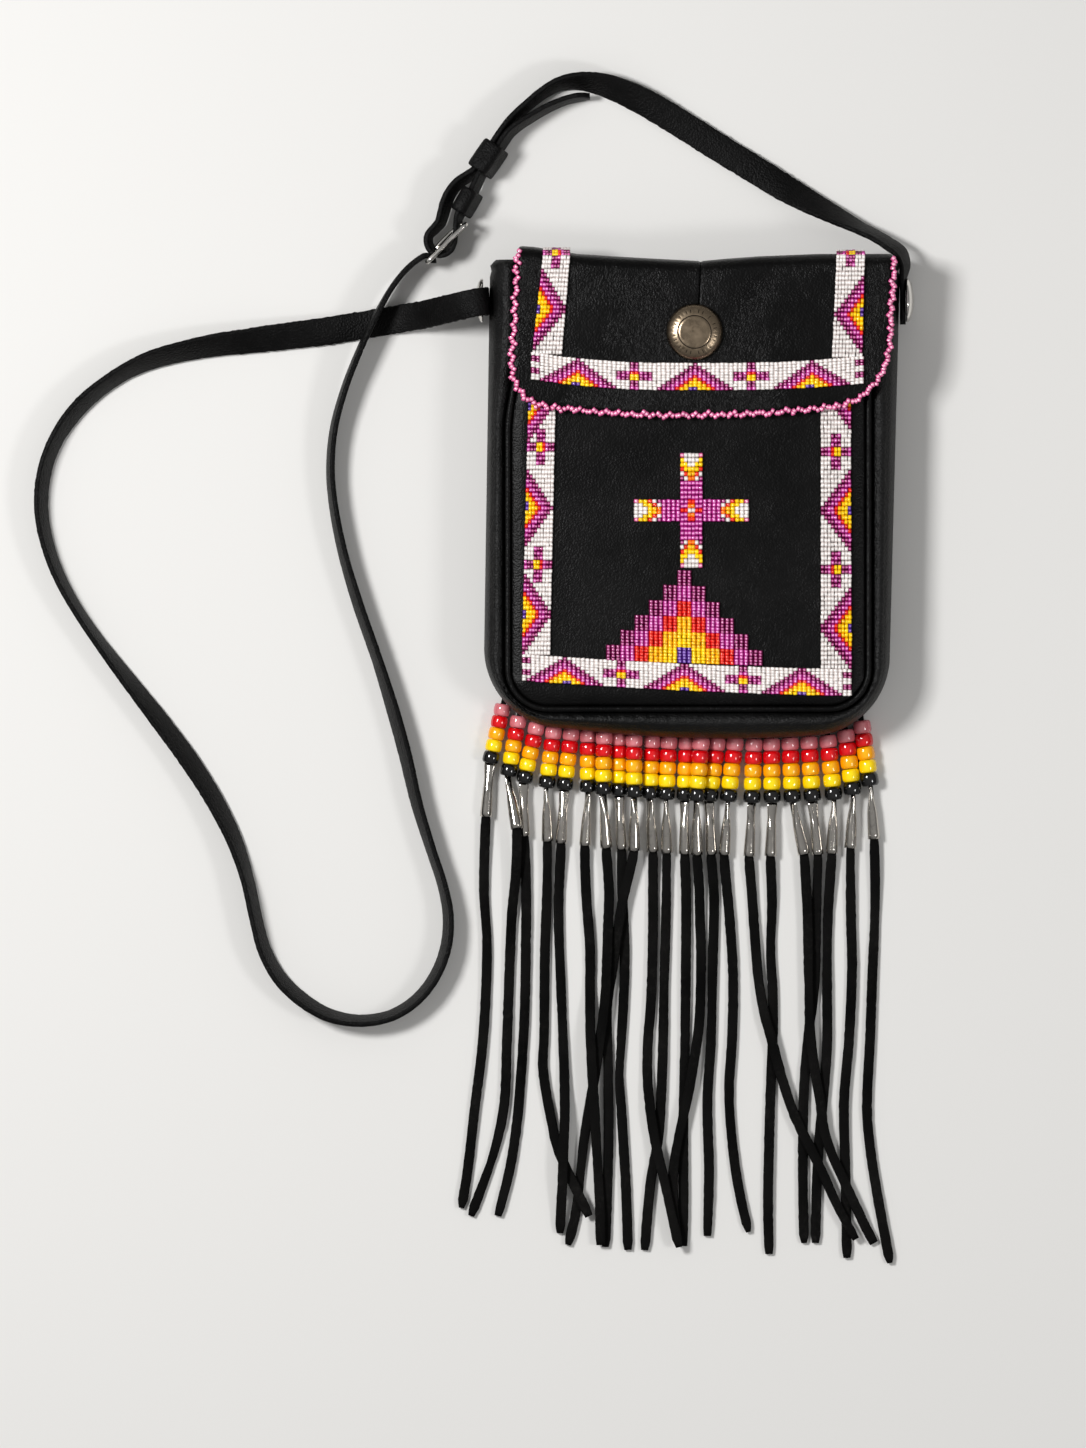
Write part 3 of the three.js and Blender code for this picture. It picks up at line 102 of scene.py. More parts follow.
# Strap routes, given as x, y, z and roll in degrees
STRAP_LEFT_ROUTE = [
    (-0.1033, 0.0965, 0.007, 0), (-0.1033, 0.0965, 0.014, 0), (-0.1033, 0.0965, 0.022, 0),
    (-0.1033, 0.0964, 0.0296, 0), (-0.1048, 0.0962, 0.0334, 0), (-0.1085, 0.0958, 0.035, 0),
    (-0.1135, 0.0947, 0.0336, 0), (-0.12, 0.0932, 0.0285, 0), (-0.1275, 0.0915, 0.0205, 0),
    (-0.136, 0.0897, 0.011, 0), (-0.145, 0.0883, 0.0046, 0), (-0.155, 0.0866, 0.0021, 0),
    (-0.168, 0.0844, 0.0019, -2), (-0.182, 0.0821, 0.0026, -8), (-0.202, 0.0795, 0.0039, -20),
    (-0.222, 0.077, 0.0051, -32), (-0.24, 0.0747, 0.006, -42), (-0.2565, 0.0714, 0.0066, -51),
    (-0.27, 0.0677, 0.0069, -55), (-0.282, 0.0625, 0.0072, -62), (-0.293, 0.0556, 0.0072, -64),
    (-0.3033, 0.0473, 0.0072, -62), (-0.312, 0.0375, 0.0072, -63), (-0.3186, 0.027, 0.0073, -67),
    (-0.3232, 0.0155, 0.0073, -68), (-0.3256, 0.002, 0.0073, -68), (-0.3253, -0.012, 0.0073, -69),
    (-0.3217, -0.028, 0.0074, -71), (-0.316, -0.0425, 0.0074, -73), (-0.308, -0.057, 0.0074, -75),
    (-0.2975, -0.0725, 0.0074, -73), (-0.2823, -0.0925, 0.0072, -64), (-0.2668, -0.1125, 0.0069, -56),
    (-0.252, -0.1325, 0.0068, -54), (-0.2393, -0.1525, 0.0069, -57), (-0.2293, -0.1725, 0.0072, -63),
    (-0.2227, -0.1925, 0.0074, -70), (-0.2183, -0.2125, 0.0074, -71), (-0.214, -0.228, 0.0074, -69),
    (-0.2065, -0.2415, 0.0073, -67), (-0.196, -0.2518, 0.0073, -67), (-0.1825, -0.2598, 0.0074, -69),
    (-0.167, -0.2628, 0.0074, -73), (-0.151, -0.2602, 0.0074, -74), (-0.138, -0.252, 0.0074, -74),
    (-0.1285, -0.2395, 0.0074, -74), (-0.1233, -0.225, 0.0074, -74), (-0.1224, -0.21, 0.0074, -75),
    (-0.1252, -0.195, 0.0074, -77), (-0.1309, -0.1775, 0.0074, -77), (-0.138, -0.1545, 0.0074, -73),
    (-0.1438, -0.13, 0.0074, -70), (-0.15, -0.1075, 0.0074, -70), (-0.1578, -0.0825, 0.0074, -75),
    (-0.168, -0.053, 0.0074, -75), (-0.1755, -0.027, 0.0075, -78), (-0.18, -0.003, 0.0075, -80),
    (-0.1812, 0.014, 0.0076, -81), (-0.1795, 0.033, 0.0084, -82), (-0.1743, 0.0525, 0.0098, -83),
    (-0.1667, 0.072, 0.0114, -84), (-0.157, 0.0922, 0.0118, -86), (-0.1505, 0.1035, 0.0112, -88),
    (-0.1442, 0.1116, 0.0105, -90), (-0.1396, 0.1159, 0.0102, -90), (-0.1364, 0.1182, 0.0102, -90),
    (-0.1344, 0.1194, 0.0102, -90), (-0.1324, 0.1195, 0.0102, -90), (-0.1305, 0.1183, 0.0102, -90),
    (-0.1298, 0.1171, 0.0102, -90), (-0.1297, 0.1158, 0.0102, -90),
]
STRAP_RIGHT_ROUTE = [
    (0.1047, 0.085, 0.0175, 90), (0.1047, 0.097, 0.0175, 90), (0.1048, 0.1082, 0.0173, 83),
    (0.1055, 0.1148, 0.017, 72), (0.1032, 0.121, 0.016, 65), (0.0975, 0.1254, 0.015, 68),
    (0.091, 0.1294, 0.0134, 70), (0.0835, 0.1331, 0.0116, 69), (0.0735, 0.1383, 0.0094, 57),
    (0.0635, 0.1435, 0.0074, 44), (0.0535, 0.149, 0.0056, 30), (0.0435, 0.1548, 0.0042, 15),
    (0.0335, 0.161, 0.0032, 5), (0.0135, 0.1732, 0.0024, 0), (-0.0065, 0.1858, 0.0025, -4),
    (-0.017, 0.1922, 0.0032, -9), (-0.027, 0.1977, 0.0044, -19), (-0.037, 0.2022, 0.0057, -32),
    (-0.047, 0.2055, 0.0067, -44), (-0.057, 0.2068, 0.0075, -58), (-0.0665, 0.2054, 0.0081, -68),
    (-0.0753, 0.2006, 0.0086, -73), (-0.082, 0.1952, 0.009, -75), (-0.0877, 0.1901, 0.0096, -75),
    (-0.0914, 0.1862, 0.0103, -75), (-0.0946, 0.182, 0.0107, -75), (-0.0991, 0.1754, 0.0107, -75),
    (-0.1036, 0.1688, 0.0107, -75), (-0.1082, 0.1622, 0.0107, -75), (-0.1125, 0.159, 0.0106, -74),
    (-0.1172, 0.1558, 0.0106, -73), (-0.121, 0.151, 0.0105, -72), (-0.1232, 0.1463, 0.0104, -71),
    (-0.1246, 0.1413, 0.0102, -72), (-0.1264, 0.1358, 0.0102, -74), (-0.1294, 0.1325, 0.0102, -77),
    (-0.1318, 0.1298, 0.0102, -79), (-0.1323, 0.1268, 0.0102, -79), (-0.1313, 0.1235, 0.0102, -79),
    (-0.1280, 0.1208, 0.0102, -79), (-0.1250, 0.1207, 0.0102, -79), (-0.1217, 0.1228, 0.0102, -79),
    (-0.1200, 0.1267, 0.0102, -79), (-0.1187, 0.13, 0.0102, -91), (-0.1178, 0.1352, 0.0102, -97),
    (-0.1162, 0.1406, 0.0107, -105), (-0.1129, 0.1462, 0.0107, -105), (-0.1097, 0.1518, 0.0107, -105),
    (-0.1076, 0.1562, 0.0107, -105), (-0.1056, 0.1605, 0.0107, -105), (-0.1011, 0.1671, 0.0107, -105),
    (-0.0965, 0.1737, 0.0107, -105), (-0.092, 0.1803, 0.0107, -105), (-0.0883, 0.1837, 0.0103, -104),
    (-0.084, 0.1866, 0.0096, -103), (-0.0785, 0.19, 0.0089, -102), (-0.074, 0.1926, 0.0084, -102),
    (-0.069, 0.195, 0.008, -101), (-0.0625, 0.1975, 0.0077, -100), (-0.056, 0.1988, 0.0076, -100),
    (-0.0515, 0.1991, 0.0076, -100),
]

# Fringe strands: place, drop, leans and lifts of beads and cone, then the thong route
STRANDS = [
    ((-0.0948, 0.0015, -0.23, -0.07, 0, 0), [
        (-0.1045, -0.1975, 0.0012), (-0.103, -0.2255, 0.0012), (-0.105, -0.272, 0.0012),
        (-0.109, -0.3055, 0.0012), (-0.113, -0.34, 0.0012), (-0.1158, -0.3565, 0.0012)]),
    ((-0.0869, 0.0005, -0.19, 0.17, 0, 0.0054), [
        (-0.0885, -0.188, 0.0046), (-0.0905, -0.209, 0.0016), (-0.0915, -0.231, 0.0012),
        (-0.093, -0.272, 0.0012), (-0.0945, -0.3055, 0.0012), (-0.0995, -0.3285, 0.0012),
        (-0.111, -0.3605, 0.0012)]),
    ((-0.0778, 0.0005, -0.23, 0.01, 0, 0), [
        (-0.0835, -0.1925, 0.0012), (-0.0835, -0.2165, 0.0012), (-0.084, -0.253, 0.0012),
        (-0.0848, -0.2715, 0.0012), (-0.088, -0.3135, 0.0012), (-0.0915, -0.3365, 0.0012),
        (-0.0975, -0.3605, 0.0012)]),
    ((-0.0694, 0.0005, -0.13, 0.02, 0, 0), [
        (-0.073, -0.198, 0.0012), (-0.074, -0.2275, 0.0012), (-0.0745, -0.272, 0.0012),
        (-0.075, -0.2865, 0.0012), (-0.071, -0.3115, 0.0012), (-0.0675, -0.327, 0.0016),
        (-0.0625, -0.3385, 0.0036), (-0.0575, -0.349, 0.0042), (-0.052, -0.3605, 0.0039)]),
    ((-0.0606, 0.0005, -0.12, -0.06, 0, 0), [
        (-0.067, -0.1975, 0.0012), (-0.0672, -0.213, 0.0012), (-0.066, -0.246, 0.0012),
        (-0.065, -0.272, 0.0012), (-0.0642, -0.295, 0.002), (-0.0642, -0.3125, 0.0056),
        (-0.0648, -0.3275, 0.0066), (-0.0652, -0.3425, 0.0064), (-0.066, -0.3575, 0.003),
        (-0.0665, -0.369, 0.0012)]),
    ((-0.0525, 0.0005, 0, -0.06, 0, 0), [
        (-0.0535, -0.198, 0.0012), (-0.0515, -0.2275, 0.0012), (-0.0515, -0.2475, 0.0014),
        (-0.0514, -0.265, 0.0048), (-0.051, -0.2775, 0.0065), (-0.0502, -0.2925, 0.0068),
        (-0.0492, -0.3075, 0.0064), (-0.0485, -0.3225, 0.005), (-0.0475, -0.3385, 0.0038),
        (-0.0465, -0.3575, 0.0038), (-0.0462, -0.375, 0.0037)]),
    ((-0.0444, 0.0005, -0.02, 0.06, 0.0044, 0.0008), [
        (-0.042, -0.1985, 0.0018), (-0.0425, -0.215, 0.0054), (-0.043, -0.231, 0.0064),
        (-0.044, -0.2525, 0.005), (-0.0468, -0.275, 0.0037), (-0.0495, -0.2925, 0.0032),
        (-0.0525, -0.31, 0.0018), (-0.0545, -0.3225, 0.0012), (-0.0588, -0.3595, 0.0012),
        (-0.0625, -0.375, 0.0012)]),
    ((-0.037, 0.0005, 0, 0.05, 0, 0), [
        (-0.0355, -0.1975, 0.0012), (-0.0345, -0.2175, 0.0012), (-0.0342, -0.2385, 0.0012),
        (-0.0358, -0.272, 0.0012), (-0.0368, -0.2905, 0.0012), (-0.0358, -0.3075, 0.0012),
        (-0.035, -0.321, 0.0012), (-0.0335, -0.3475, 0.0012), (-0.0325, -0.3775, 0.0012)]),
    ((-0.0295, 0.0005, 0, 0, 0.0044, 0.003), [
        (-0.0315, -0.1875, 0.0048), (-0.035, -0.202, 0.004), (-0.0385, -0.224, 0.0038),
        (-0.0402, -0.2365, 0.003), (-0.0428, -0.255, 0.0013), (-0.0425, -0.2825, 0.0012),
        (-0.0422, -0.321, 0.0012), (-0.043, -0.3525, 0.0012), (-0.0438, -0.376, 0.0012)]),
    ((-0.0204, 0.0005, -0.04, 0.06, 0, 0), [
        (-0.02, -0.195, 0.0012), (-0.02, -0.2165, 0.0012), (-0.021, -0.253, 0.0012),
        (-0.0225, -0.2725, 0.0012), (-0.0228, -0.29, 0.0016), (-0.0212, -0.3085, 0.0038),
        (-0.0185, -0.325, 0.004), (-0.015, -0.34, 0.0058), (-0.011, -0.3585, 0.0066),
        (-0.007, -0.376, 0.0062)]),
    ((-0.0119, 0.0005, -0.05, 0.01, 0, 0), [
        (-0.0135, -0.209, 0.0012), (-0.0145, -0.246, 0.0012), (-0.015, -0.275, 0.0012),
        (-0.0158, -0.2975, 0.0012), (-0.0172, -0.32, 0.0012), (-0.0212, -0.344, 0.0012),
        (-0.0242, -0.3775, 0.0012)]),
    ((-0.0029, 0.0005, -0.04, 0, 0, 0), [
        (-0.0035, -0.1975, 0.0012), (-0.0035, -0.2285, 0.0012), (-0.004, -0.272, 0.0012),
        (-0.0048, -0.3155, 0.0012), (-0.0048, -0.355, 0.0012), (-0.0052, -0.3755, 0.0012)]),
    ((0.0042, 0.0005, -0.08, 0.01, 0.0056, 0.003), [
        (0.003, -0.195, 0.003), (0.0035, -0.2125, 0.0014), (0.004, -0.2285, 0.0012),
        (0.0032, -0.2625, 0.0013), (0.0015, -0.2765, 0.0032), (-0.0025, -0.3, 0.0038),
        (-0.0075, -0.3225, 0.0038), (-0.01, -0.34, 0.0037), (-0.0095, -0.36, 0.0037),
        (-0.008, -0.3705, 0.0037)]),
    ((0.0124, 0.0005, -0.14, 0.04, 0, 0), [
        (0.0105, -0.2005, 0.0012), (0.0098, -0.2365, 0.0012), (0.009, -0.272, 0.0012),
        (0.0072, -0.3035, 0.0012), (0.008, -0.339, 0.0012), (0.0072, -0.3705, 0.0012)]),
    ((0.0213, 0.0005, -0.12, -0.07, 0, 0), [
        (0.017, -0.1975, 0.0012), (0.018, -0.2085, 0.0012), (0.02, -0.24, 0.0012),
        (0.0195, -0.272, 0.0012), (0.018, -0.2995, 0.0012), (0.0205, -0.3315, 0.0012),
        (0.024, -0.3525, 0.0012), (0.0278, -0.3685, 0.0012)]),
    ((0.0306, 0.001, -0.04, -0.05, 0, 0), [
        (0.0295, -0.2, 0.0012), (0.0305, -0.215, 0.0012), (0.0328, -0.2425, 0.0018),
        (0.0355, -0.2585, 0.0037), (0.04, -0.275, 0.0039), (0.045, -0.2935, 0.0037),
        (0.0515, -0.312, 0.0038), (0.0585, -0.326, 0.0038), (0.065, -0.3395, 0.0038),
        (0.0735, -0.358, 0.0038), (0.0815, -0.372, 0.0037)]),
    ((0.0392, 0.001, 0.01, -0.03, 0, 0), [
        (0.0395, -0.2045, 0.0012), (0.0388, -0.2285, 0.0012), (0.0398, -0.2475, 0.0012),
        (0.04, -0.2655, 0.0012), (0.0388, -0.298, 0.0012), (0.038, -0.326, 0.0012),
        (0.0375, -0.3535, 0.0012), (0.038, -0.3795, 0.0012)]),
    ((0.0484, 0.001, 0.04, 0.22, 0, 0.0015), [
        (0.0565, -0.195, 0.0039), (0.0572, -0.2085, 0.0038), (0.0578, -0.2425, 0.0038),
        (0.0585, -0.2675, 0.0038), (0.061, -0.2885, 0.0038), (0.0635, -0.3025, 0.0038),
        (0.0655, -0.3175, 0.0038), (0.0698, -0.3305, 0.0038), (0.0755, -0.343, 0.0038),
        (0.082, -0.357, 0.0034), (0.0865, -0.3665, 0.0018), (0.0905, -0.374, 0.0012)]),
    ((0.0578, 0.001, 0.06, 0.1, 0, 0), [
        (0.062, -0.1975, 0.0014), (0.0615, -0.2125, 0.0012), (0.0608, -0.244, 0.0012),
        (0.058, -0.2675, 0.0012), (0.0558, -0.2915, 0.0012), (0.055, -0.3175, 0.0012),
        (0.055, -0.3475, 0.0012), (0.0555, -0.374, 0.0012)]),
    ((0.0672, 0.001, 0.1, -0.04, 0, 0), [
        (0.0675, -0.21, 0.0012), (0.067, -0.244, 0.0012), (0.067, -0.2755, 0.0012),
        (0.065, -0.3025, 0.0012), (0.063, -0.3235, 0.0012), (0.0618, -0.3475, 0.0012),
        (0.0612, -0.374, 0.0012)]),
    ((0.0761, 0.001, 0.12, -0.05, 0, 0), [
        (0.079, -0.2125, 0.0012), (0.0795, -0.2365, 0.0012), (0.078, -0.272, 0.0012),
        (0.0755, -0.3035, 0.0012), (0.0762, -0.339, 0.0012), (0.077, -0.3815, 0.0012)]),
    ((0.0841, 0.001, 0.14, 0.07, 0, 0), [
        (0.091, -0.2045, 0.0012), (0.0895, -0.244, 0.0012), (0.0885, -0.272, 0.0012),
        (0.087, -0.3075, 0.0012), (0.0885, -0.326, 0.0012), (0.092, -0.349, 0.0012),
        (0.0985, -0.384, 0.0012)]),
]

# Places and directions
UP = np.array((0.0, 0.0, 1.0))


def unit(vector):
    vector = np.array(vector, float)
    return vector / np.linalg.norm(vector)


def unit_rows(vectors):
    return vectors / np.linalg.norm(vectors, axis=-1, keepdims=True)


def mixed(start, end, share):
    return start + (end - start) * share


# A smooth step from 0 at the low value to 1 at the high one
def eased(value, low, high):
    share = np.clip((value - low) / (high - low), 0, 1)
    return share * share * (3 - 2 * share)


# A quarter circle that rises from 0 to 1
def rounded(share):
    return np.sqrt(1 - (1 - np.clip(share, 0, 1)) ** 2)


# A smooth hump of height 1 about a middle
def bell(value, middle, width):
    return np.exp(-((value - middle) / width) ** 2)


def wander(x, y, scale, seed):
    return noise.noise(Vector((x * scale, y * scale, seed)))


def wander_over(x, y, scale, seed):
    flat = [wander(a, b, scale, seed) for a, b in zip(np.ravel(x), np.ravel(y))]
    return np.reshape(flat, np.shape(x))


# A smooth curve through given points; numbers after x, y, z are carried along evenly
SHORTEST_STEP = 1e-9


def smooth_route(points, spacing):
    points = np.array(points, float)
    places = points[:, :3]
    ends = np.vstack([2 * places[0] - places[1], places, 2 * places[-1] - places[-2]])
    rows = []
    for i in range(len(places) - 1):
        p0, p1, p2, p3 = ends[i:i + 4]
        spans = ((p0, p1), (p1, p2), (p2, p3))
        d0, d1, d2 = [max(np.linalg.norm(b - a), SHORTEST_STEP) ** 0.5 for a, b in spans]
        leave = ((p1 - p0) / d0 - (p2 - p0) / (d0 + d1) + (p2 - p1) / d1) * d1
        reach = ((p2 - p1) / d1 - (p3 - p1) / (d1 + d2) + (p3 - p2) / d2) * d1
        count = max(2, int(round(np.linalg.norm(p2 - p1) / spacing)))
        for t in np.arange(count) / count:
            place = (2 * t**3 - 3 * t**2 + 1) * p1 + (t**3 - 2 * t**2 + t) * leave
            place = place + (3 * t**2 - 2 * t**3) * p2 + (t**3 - t**2) * reach
            rows.append(np.concatenate([place, mixed(points[i, 3:], points[i + 1, 3:], t)]))
    rows.append(points[-1])
    return np.array(rows)


def run_lengths(places):
    steps = np.linalg.norm(np.diff(places, axis=0), axis=1)
    return np.concatenate([[0], np.cumsum(steps)])


# Meshes
def make_piece(name, points, faces, materials, face_slots=None):
    mesh = bpy.data.meshes.new(name)
    mesh.from_pydata(np.asarray(points, float).tolist(), [], faces)
    for material in materials:
        mesh.materials.append(material)
    if face_slots is not None:
        mesh.polygons.foreach_set("material_index", face_slots)
    mesh.polygons.foreach_set("use_smooth", [True] * len(mesh.polygons))
    shape = bmesh.new()
    shape.from_mesh(mesh)
    bmesh.ops.recalc_face_normals(shape, faces=shape.faces)
    shape.to_mesh(mesh)
    shape.free()
    piece = bpy.data.objects.new(name, mesh)
    bpy.context.scene.collection.objects.link(piece)
    return piece


def dress(piece, body, slot, *nodes):
    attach(piece, body)
    if nodes:
        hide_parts(*nodes)
    return piece


def ring_faces(rings, sides, looped=False):
    faces = []
    for ring in range(rings if looped else rings - 1):
        here = ring * sides
        there = (ring + 1) % rings * sides
        for side in range(sides):
            after = (side + 1) % sides
            faces.append((here + side, here + after, there + after, there + side))
    if not looped:
        faces.append(tuple(range(sides)))
        faces.append(tuple(range((rings - 1) * sides, rings * sides)))
    return faces


# Faces of several looped rings of points, one bead after another
def bead_faces(rings, sides, count):
    ring = np.array(ring_faces(rings, sides, looped=True))
    first = rings * sides * np.arange(count)
    return (ring[None] + first[:, None, None]).reshape(-1, 4).tolist()


# Outward directions of a grid of points
def grid_normals(middle):
    return unit_rows(np.cross(np.gradient(middle, axis=1), np.gradient(middle, axis=0)))


# A closed sheet of leather or metal on both sides of a grid of middle points
def sheet_piece(name, middle, half, materials):
    rows, columns = middle.shape[:2]
    offset = grid_normals(middle) * np.broadcast_to(half, (rows, columns))[..., None]
    points = np.concatenate([(middle + offset).reshape(-1, 3), (middle - offset).reshape(-1, 3)])
    index = np.arange(rows * columns).reshape(rows, columns)
    corners = (index[:-1, :-1], index[:-1, 1:], index[1:, 1:], index[1:, :-1])
    quads = np.stack(corners, axis=-1).reshape(-1, 4)
    back = rows * columns
    rim = np.concatenate([index[0], index[1:, -1], index[-1, -2::-1], index[-2:0:-1, 0]])
    after = np.roll(rim, -1)
    walls = np.stack([rim, rim + back, after + back, after], axis=1)
    faces = quads.tolist() + (quads[:, ::-1] + back).tolist() + walls.tolist()
    return make_piece(name, points, faces, materials)


# A turned piece: profile of (radius, height) about an axis, which never points along OFF_AXIS
OFF_AXIS = (0.31, 0.87, 0.12)


def turned_points(profile, sides, place, axis):
    axis = unit(axis)
    side = unit(np.cross(axis, OFF_AXIS))
    other = np.cross(axis, side)
    turns = np.arange(sides) * 2 * math.pi / sides
    circle = np.outer(np.cos(turns), side) + np.outer(np.sin(turns), other)
    rings = [np.asarray(place) + axis * height + circle * radius for radius, height in profile]
    return np.concatenate(rings)


def turned_piece(name, profile, sides, place, axis, material):
    points = turned_points(profile, sides, place, axis)
    return make_piece(name, points, ring_faces(len(profile), sides), [material])


# A round wire along a line of places, closed where it is looped
def wire_points(places, radius, sides, side_way, looped):
    places = np.array(places)
    if looped:
        along = np.roll(places, -1, axis=0) - np.roll(places, 1, axis=0)
    else:
        along = np.gradient(places, axis=0)
    along = unit_rows(along)
    across = unit_rows(np.cross(along, side_way))
    other = np.cross(along, across)
    turns = np.arange(sides) * 2 * math.pi / sides
    radius = np.broadcast_to(radius, len(places))[:, None, None]
    circle = across[:, None] * np.cos(turns)[None, :, None] + other[:, None] * np.sin(turns)[None, :, None]
    return (places[:, None] + circle * radius).reshape(-1, 3)


# The line round a rectangle with rounded corners
def rounded_loop(half_width, half_height, corner, steps):
    points = []
    for turn, (side, face) in enumerate(((1, 1), (-1, 1), (-1, -1), (1, -1))):
        for degrees in 90 * turn + np.linspace(0, 90, steps):
            angle = math.radians(degrees)
            points.append((side * (half_width - corner) + corner * math.cos(angle),
                           face * (half_height - corner) + corner * math.sin(angle)))
    return np.array(points)


# Flat bands: section axes along a route of x, y, z, roll; roll 0 lies flat and 90 stands on edge
STEEP = 0.25


def band_axes(route):
    along = unit_rows(np.gradient(route[:, :3], axis=0))
    level = np.cross(UP, along)
    level[np.hypot(along[:, 0], along[:, 1]) < STEEP] = (0, -1, 0)
    level = unit_rows(level)
    raised = np.cross(along, level)
    roll = np.radians(route[:, 3])[:, None]
    across = level * np.cos(roll) + raised * np.sin(roll)
    out = raised * np.cos(roll) - level * np.sin(roll)
    return across, out


# Sections of a flat band with rounded edges and a crowned face, scaled in width and thickness
BAND_CORNER_STEPS = 4


def band_sections(width, thickness, corner, crown, wide, thin):
    loop = rounded_loop(width / 2, thickness / 2, corner, BAND_CORNER_STEPS)
    top = (0, thickness / 2 + crown)
    low = (0, -(thickness / 2 + crown))
    section = np.vstack([loop[:BAND_CORNER_STEPS], top, loop[BAND_CORNER_STEPS:-BAND_CORNER_STEPS], low,
                         loop[-BAND_CORNER_STEPS:]])
    return section[None] * np.stack([wide, thin], axis=1)[:, None, :]


# A band with rough cut edges; returns the piece and the centre line that it follows
FRAY_COARSE = 420
FRAY_FINE = 1300
FRAY_FINE_SHARE = 0.8


def band_piece(name, route, sections, rough, seed, material):
    across, out = band_axes(route)
    places = route[:, :3]
    runs = run_lengths(places)
    rings, sides = sections.shape[:2]
    side = np.sign(sections[:, :, 0])
    fray = np.zeros((rings, sides))
    for edge in (-1, 1):
        coarse = np.array([wander(run, 0, FRAY_COARSE, seed + edge) for run in runs])
        fine = np.array([wander(run, 1, FRAY_FINE, seed + 3 * edge) for run in runs])
        fray += np.where(side == edge, (coarse + FRAY_FINE_SHARE * fine)[:, None], 0)
    u = sections[:, :, 0] + side * fray * rough
    v = sections[:, :, 1]
    points = places[:, None, :] + u[..., None] * across[:, None, :] + v[..., None] * out[:, None, :]
    piece = make_piece(name, points.reshape(-1, 3), ring_faces(rings, sides), [material])
    return piece, [tuple(place) for place in places]


# Open-topped outlines: height of the lower edge, and the whole line down, round and up again
def bottom_at(outline, x):
    corner = outline["corner"]
    corner_right = outline.get("corner_right", corner)
    from_x = outline["left_low"] + corner
    to_x = outline["right_low"] - corner_right
    if x < from_x:
        return outline["bottom_left"] + corner - math.sqrt(max(0, corner**2 - (x - from_x) ** 2))
    if x > to_x:
        return outline["bottom_right"] + corner_right - math.sqrt(max(0, corner_right**2 - (x - to_x) ** 2))
    share = (x - from_x) / (to_x - from_x)
    level = mixed(outline["bottom_left"], outline["bottom_right"], share)
    return level - outline["sag"] * 4 * share * (1 - share)


def outline_line(outline, side_steps, corner_steps, bottom_steps):
    corner = outline["corner"]
    corner_right = outline.get("corner_right", corner)
    left_x = outline["left_low"] + corner
    right_x = outline["right_low"] - corner_right
    left_y = outline["bottom_left"] + corner
    right_y = outline["bottom_right"] + corner_right
    line = []
    for t in np.arange(side_steps) / side_steps:
        line.append((mixed(outline["left_top"], outline["left_low"], t), mixed(outline["top"], left_y, t)))
    for turn in math.pi * (1 + 0.5 * np.arange(corner_steps) / corner_steps):
        line.append((left_x + corner * math.cos(turn), left_y + corner * math.sin(turn)))
    for x in np.linspace(left_x, right_x, bottom_steps, endpoint=False):
        line.append((x, bottom_at(outline, x)))
    for turn in math.pi * (1.5 + 0.5 * np.arange(corner_steps) / corner_steps):
        line.append((right_x + corner_right * math.cos(turn), right_y + corner_right * math.sin(turn)))
    for t in np.arange(side_steps + 1) / side_steps:
        line.append((mixed(outline["right_low"], outline["right_top"], t), mixed(right_y, outline["top"], t)))
    return np.array(line)


def between_outlines(inner, outer, share):
    return {key: mixed(inner[key], outer[key], share) for key in inner}


# The same outline moved outwards everywhere but at its open top
def grown_outline(outline, amount):
    grown = dict(outline)
    for key in outline:
        if key.startswith(("left", "bottom")):
            grown[key] -= amount
        if key.startswith(("right", "corner")):
            grown[key] += amount
    return grown


# Grid lines of a panel, close together at its edges so that they can be rounded
EDGE_INSETS = np.array((0, 0.0003, 0.0009, 0.0018))
EDGE_THINNEST = 0.3


def spread_shares(count, length):
    insets = EDGE_INSETS / length
    swing = 0.5 - 0.5 * np.cos(np.linspace(0, math.pi, count))
    inner = mixed(insets[-1], 1 - insets[-1], 0.5 * swing + 0.5 * np.linspace(0, 1, count))
    return np.concatenate([insets[:-1], inner, 1 - insets[-2::-1]])


def edge_round(distance):
    return np.maximum(EDGE_THINNEST, rounded(distance / EDGE_INSETS[-1]))


def panel_lines(outline, top_y, columns, rows):
    width = outline["right_low"] - outline["left_low"]
    shares = spread_shares(columns, width)
    low_x = mixed(outline["left_low"], outline["right_low"], shares)
    top_x = mixed(outline["left_top"], outline["right_top"], shares)
    low_y = np.array([bottom_at(outline, x) for x in low_x])
    fall = spread_shares(rows, top_y - low_y.min())[:, None]
    x = mixed(top_x, low_x, fall)
    y = mixed(top_y, low_y, fall)
    beside = np.minimum(shares, 1 - shares) * width
    above = np.minimum(fall, 1 - fall) * (top_y - low_y)
    return x, y, np.minimum(beside, above)


# Shader building
def shader_node(tree, kind, **inputs):
    node = tree.nodes.new("ShaderNode" + kind)
    for label, value in inputs.items():
        node.inputs[label.replace("_", " ")].default_value = value
    return node


def combine(tree, operation, *values):
    node = tree.nodes.new("ShaderNodeMath")
    node.operation = operation
    for socket, value in zip(node.inputs, values):
        if isinstance(value, (int, float)):
            socket.default_value = value
        else:
            tree.links.new(value, socket)
    return node.outputs[0]


def ranged(tree, value, from_low, from_high, to_low=0.0, to_high=1.0):
    node = shader_node(tree, "MapRange", From_Min=from_low, From_Max=from_high, To_Min=to_low, To_Max=to_high)
    tree.links.new(value, node.inputs["Value"])
    return node.outputs["Result"]


def noise_of(tree, place, scale, detail, distortion=0.0):
    node = shader_node(tree, "TexNoise", Scale=scale, Detail=detail, Distortion=distortion)
    tree.links.new(place, node.inputs["Vector"])
    return node.outputs["Fac"]


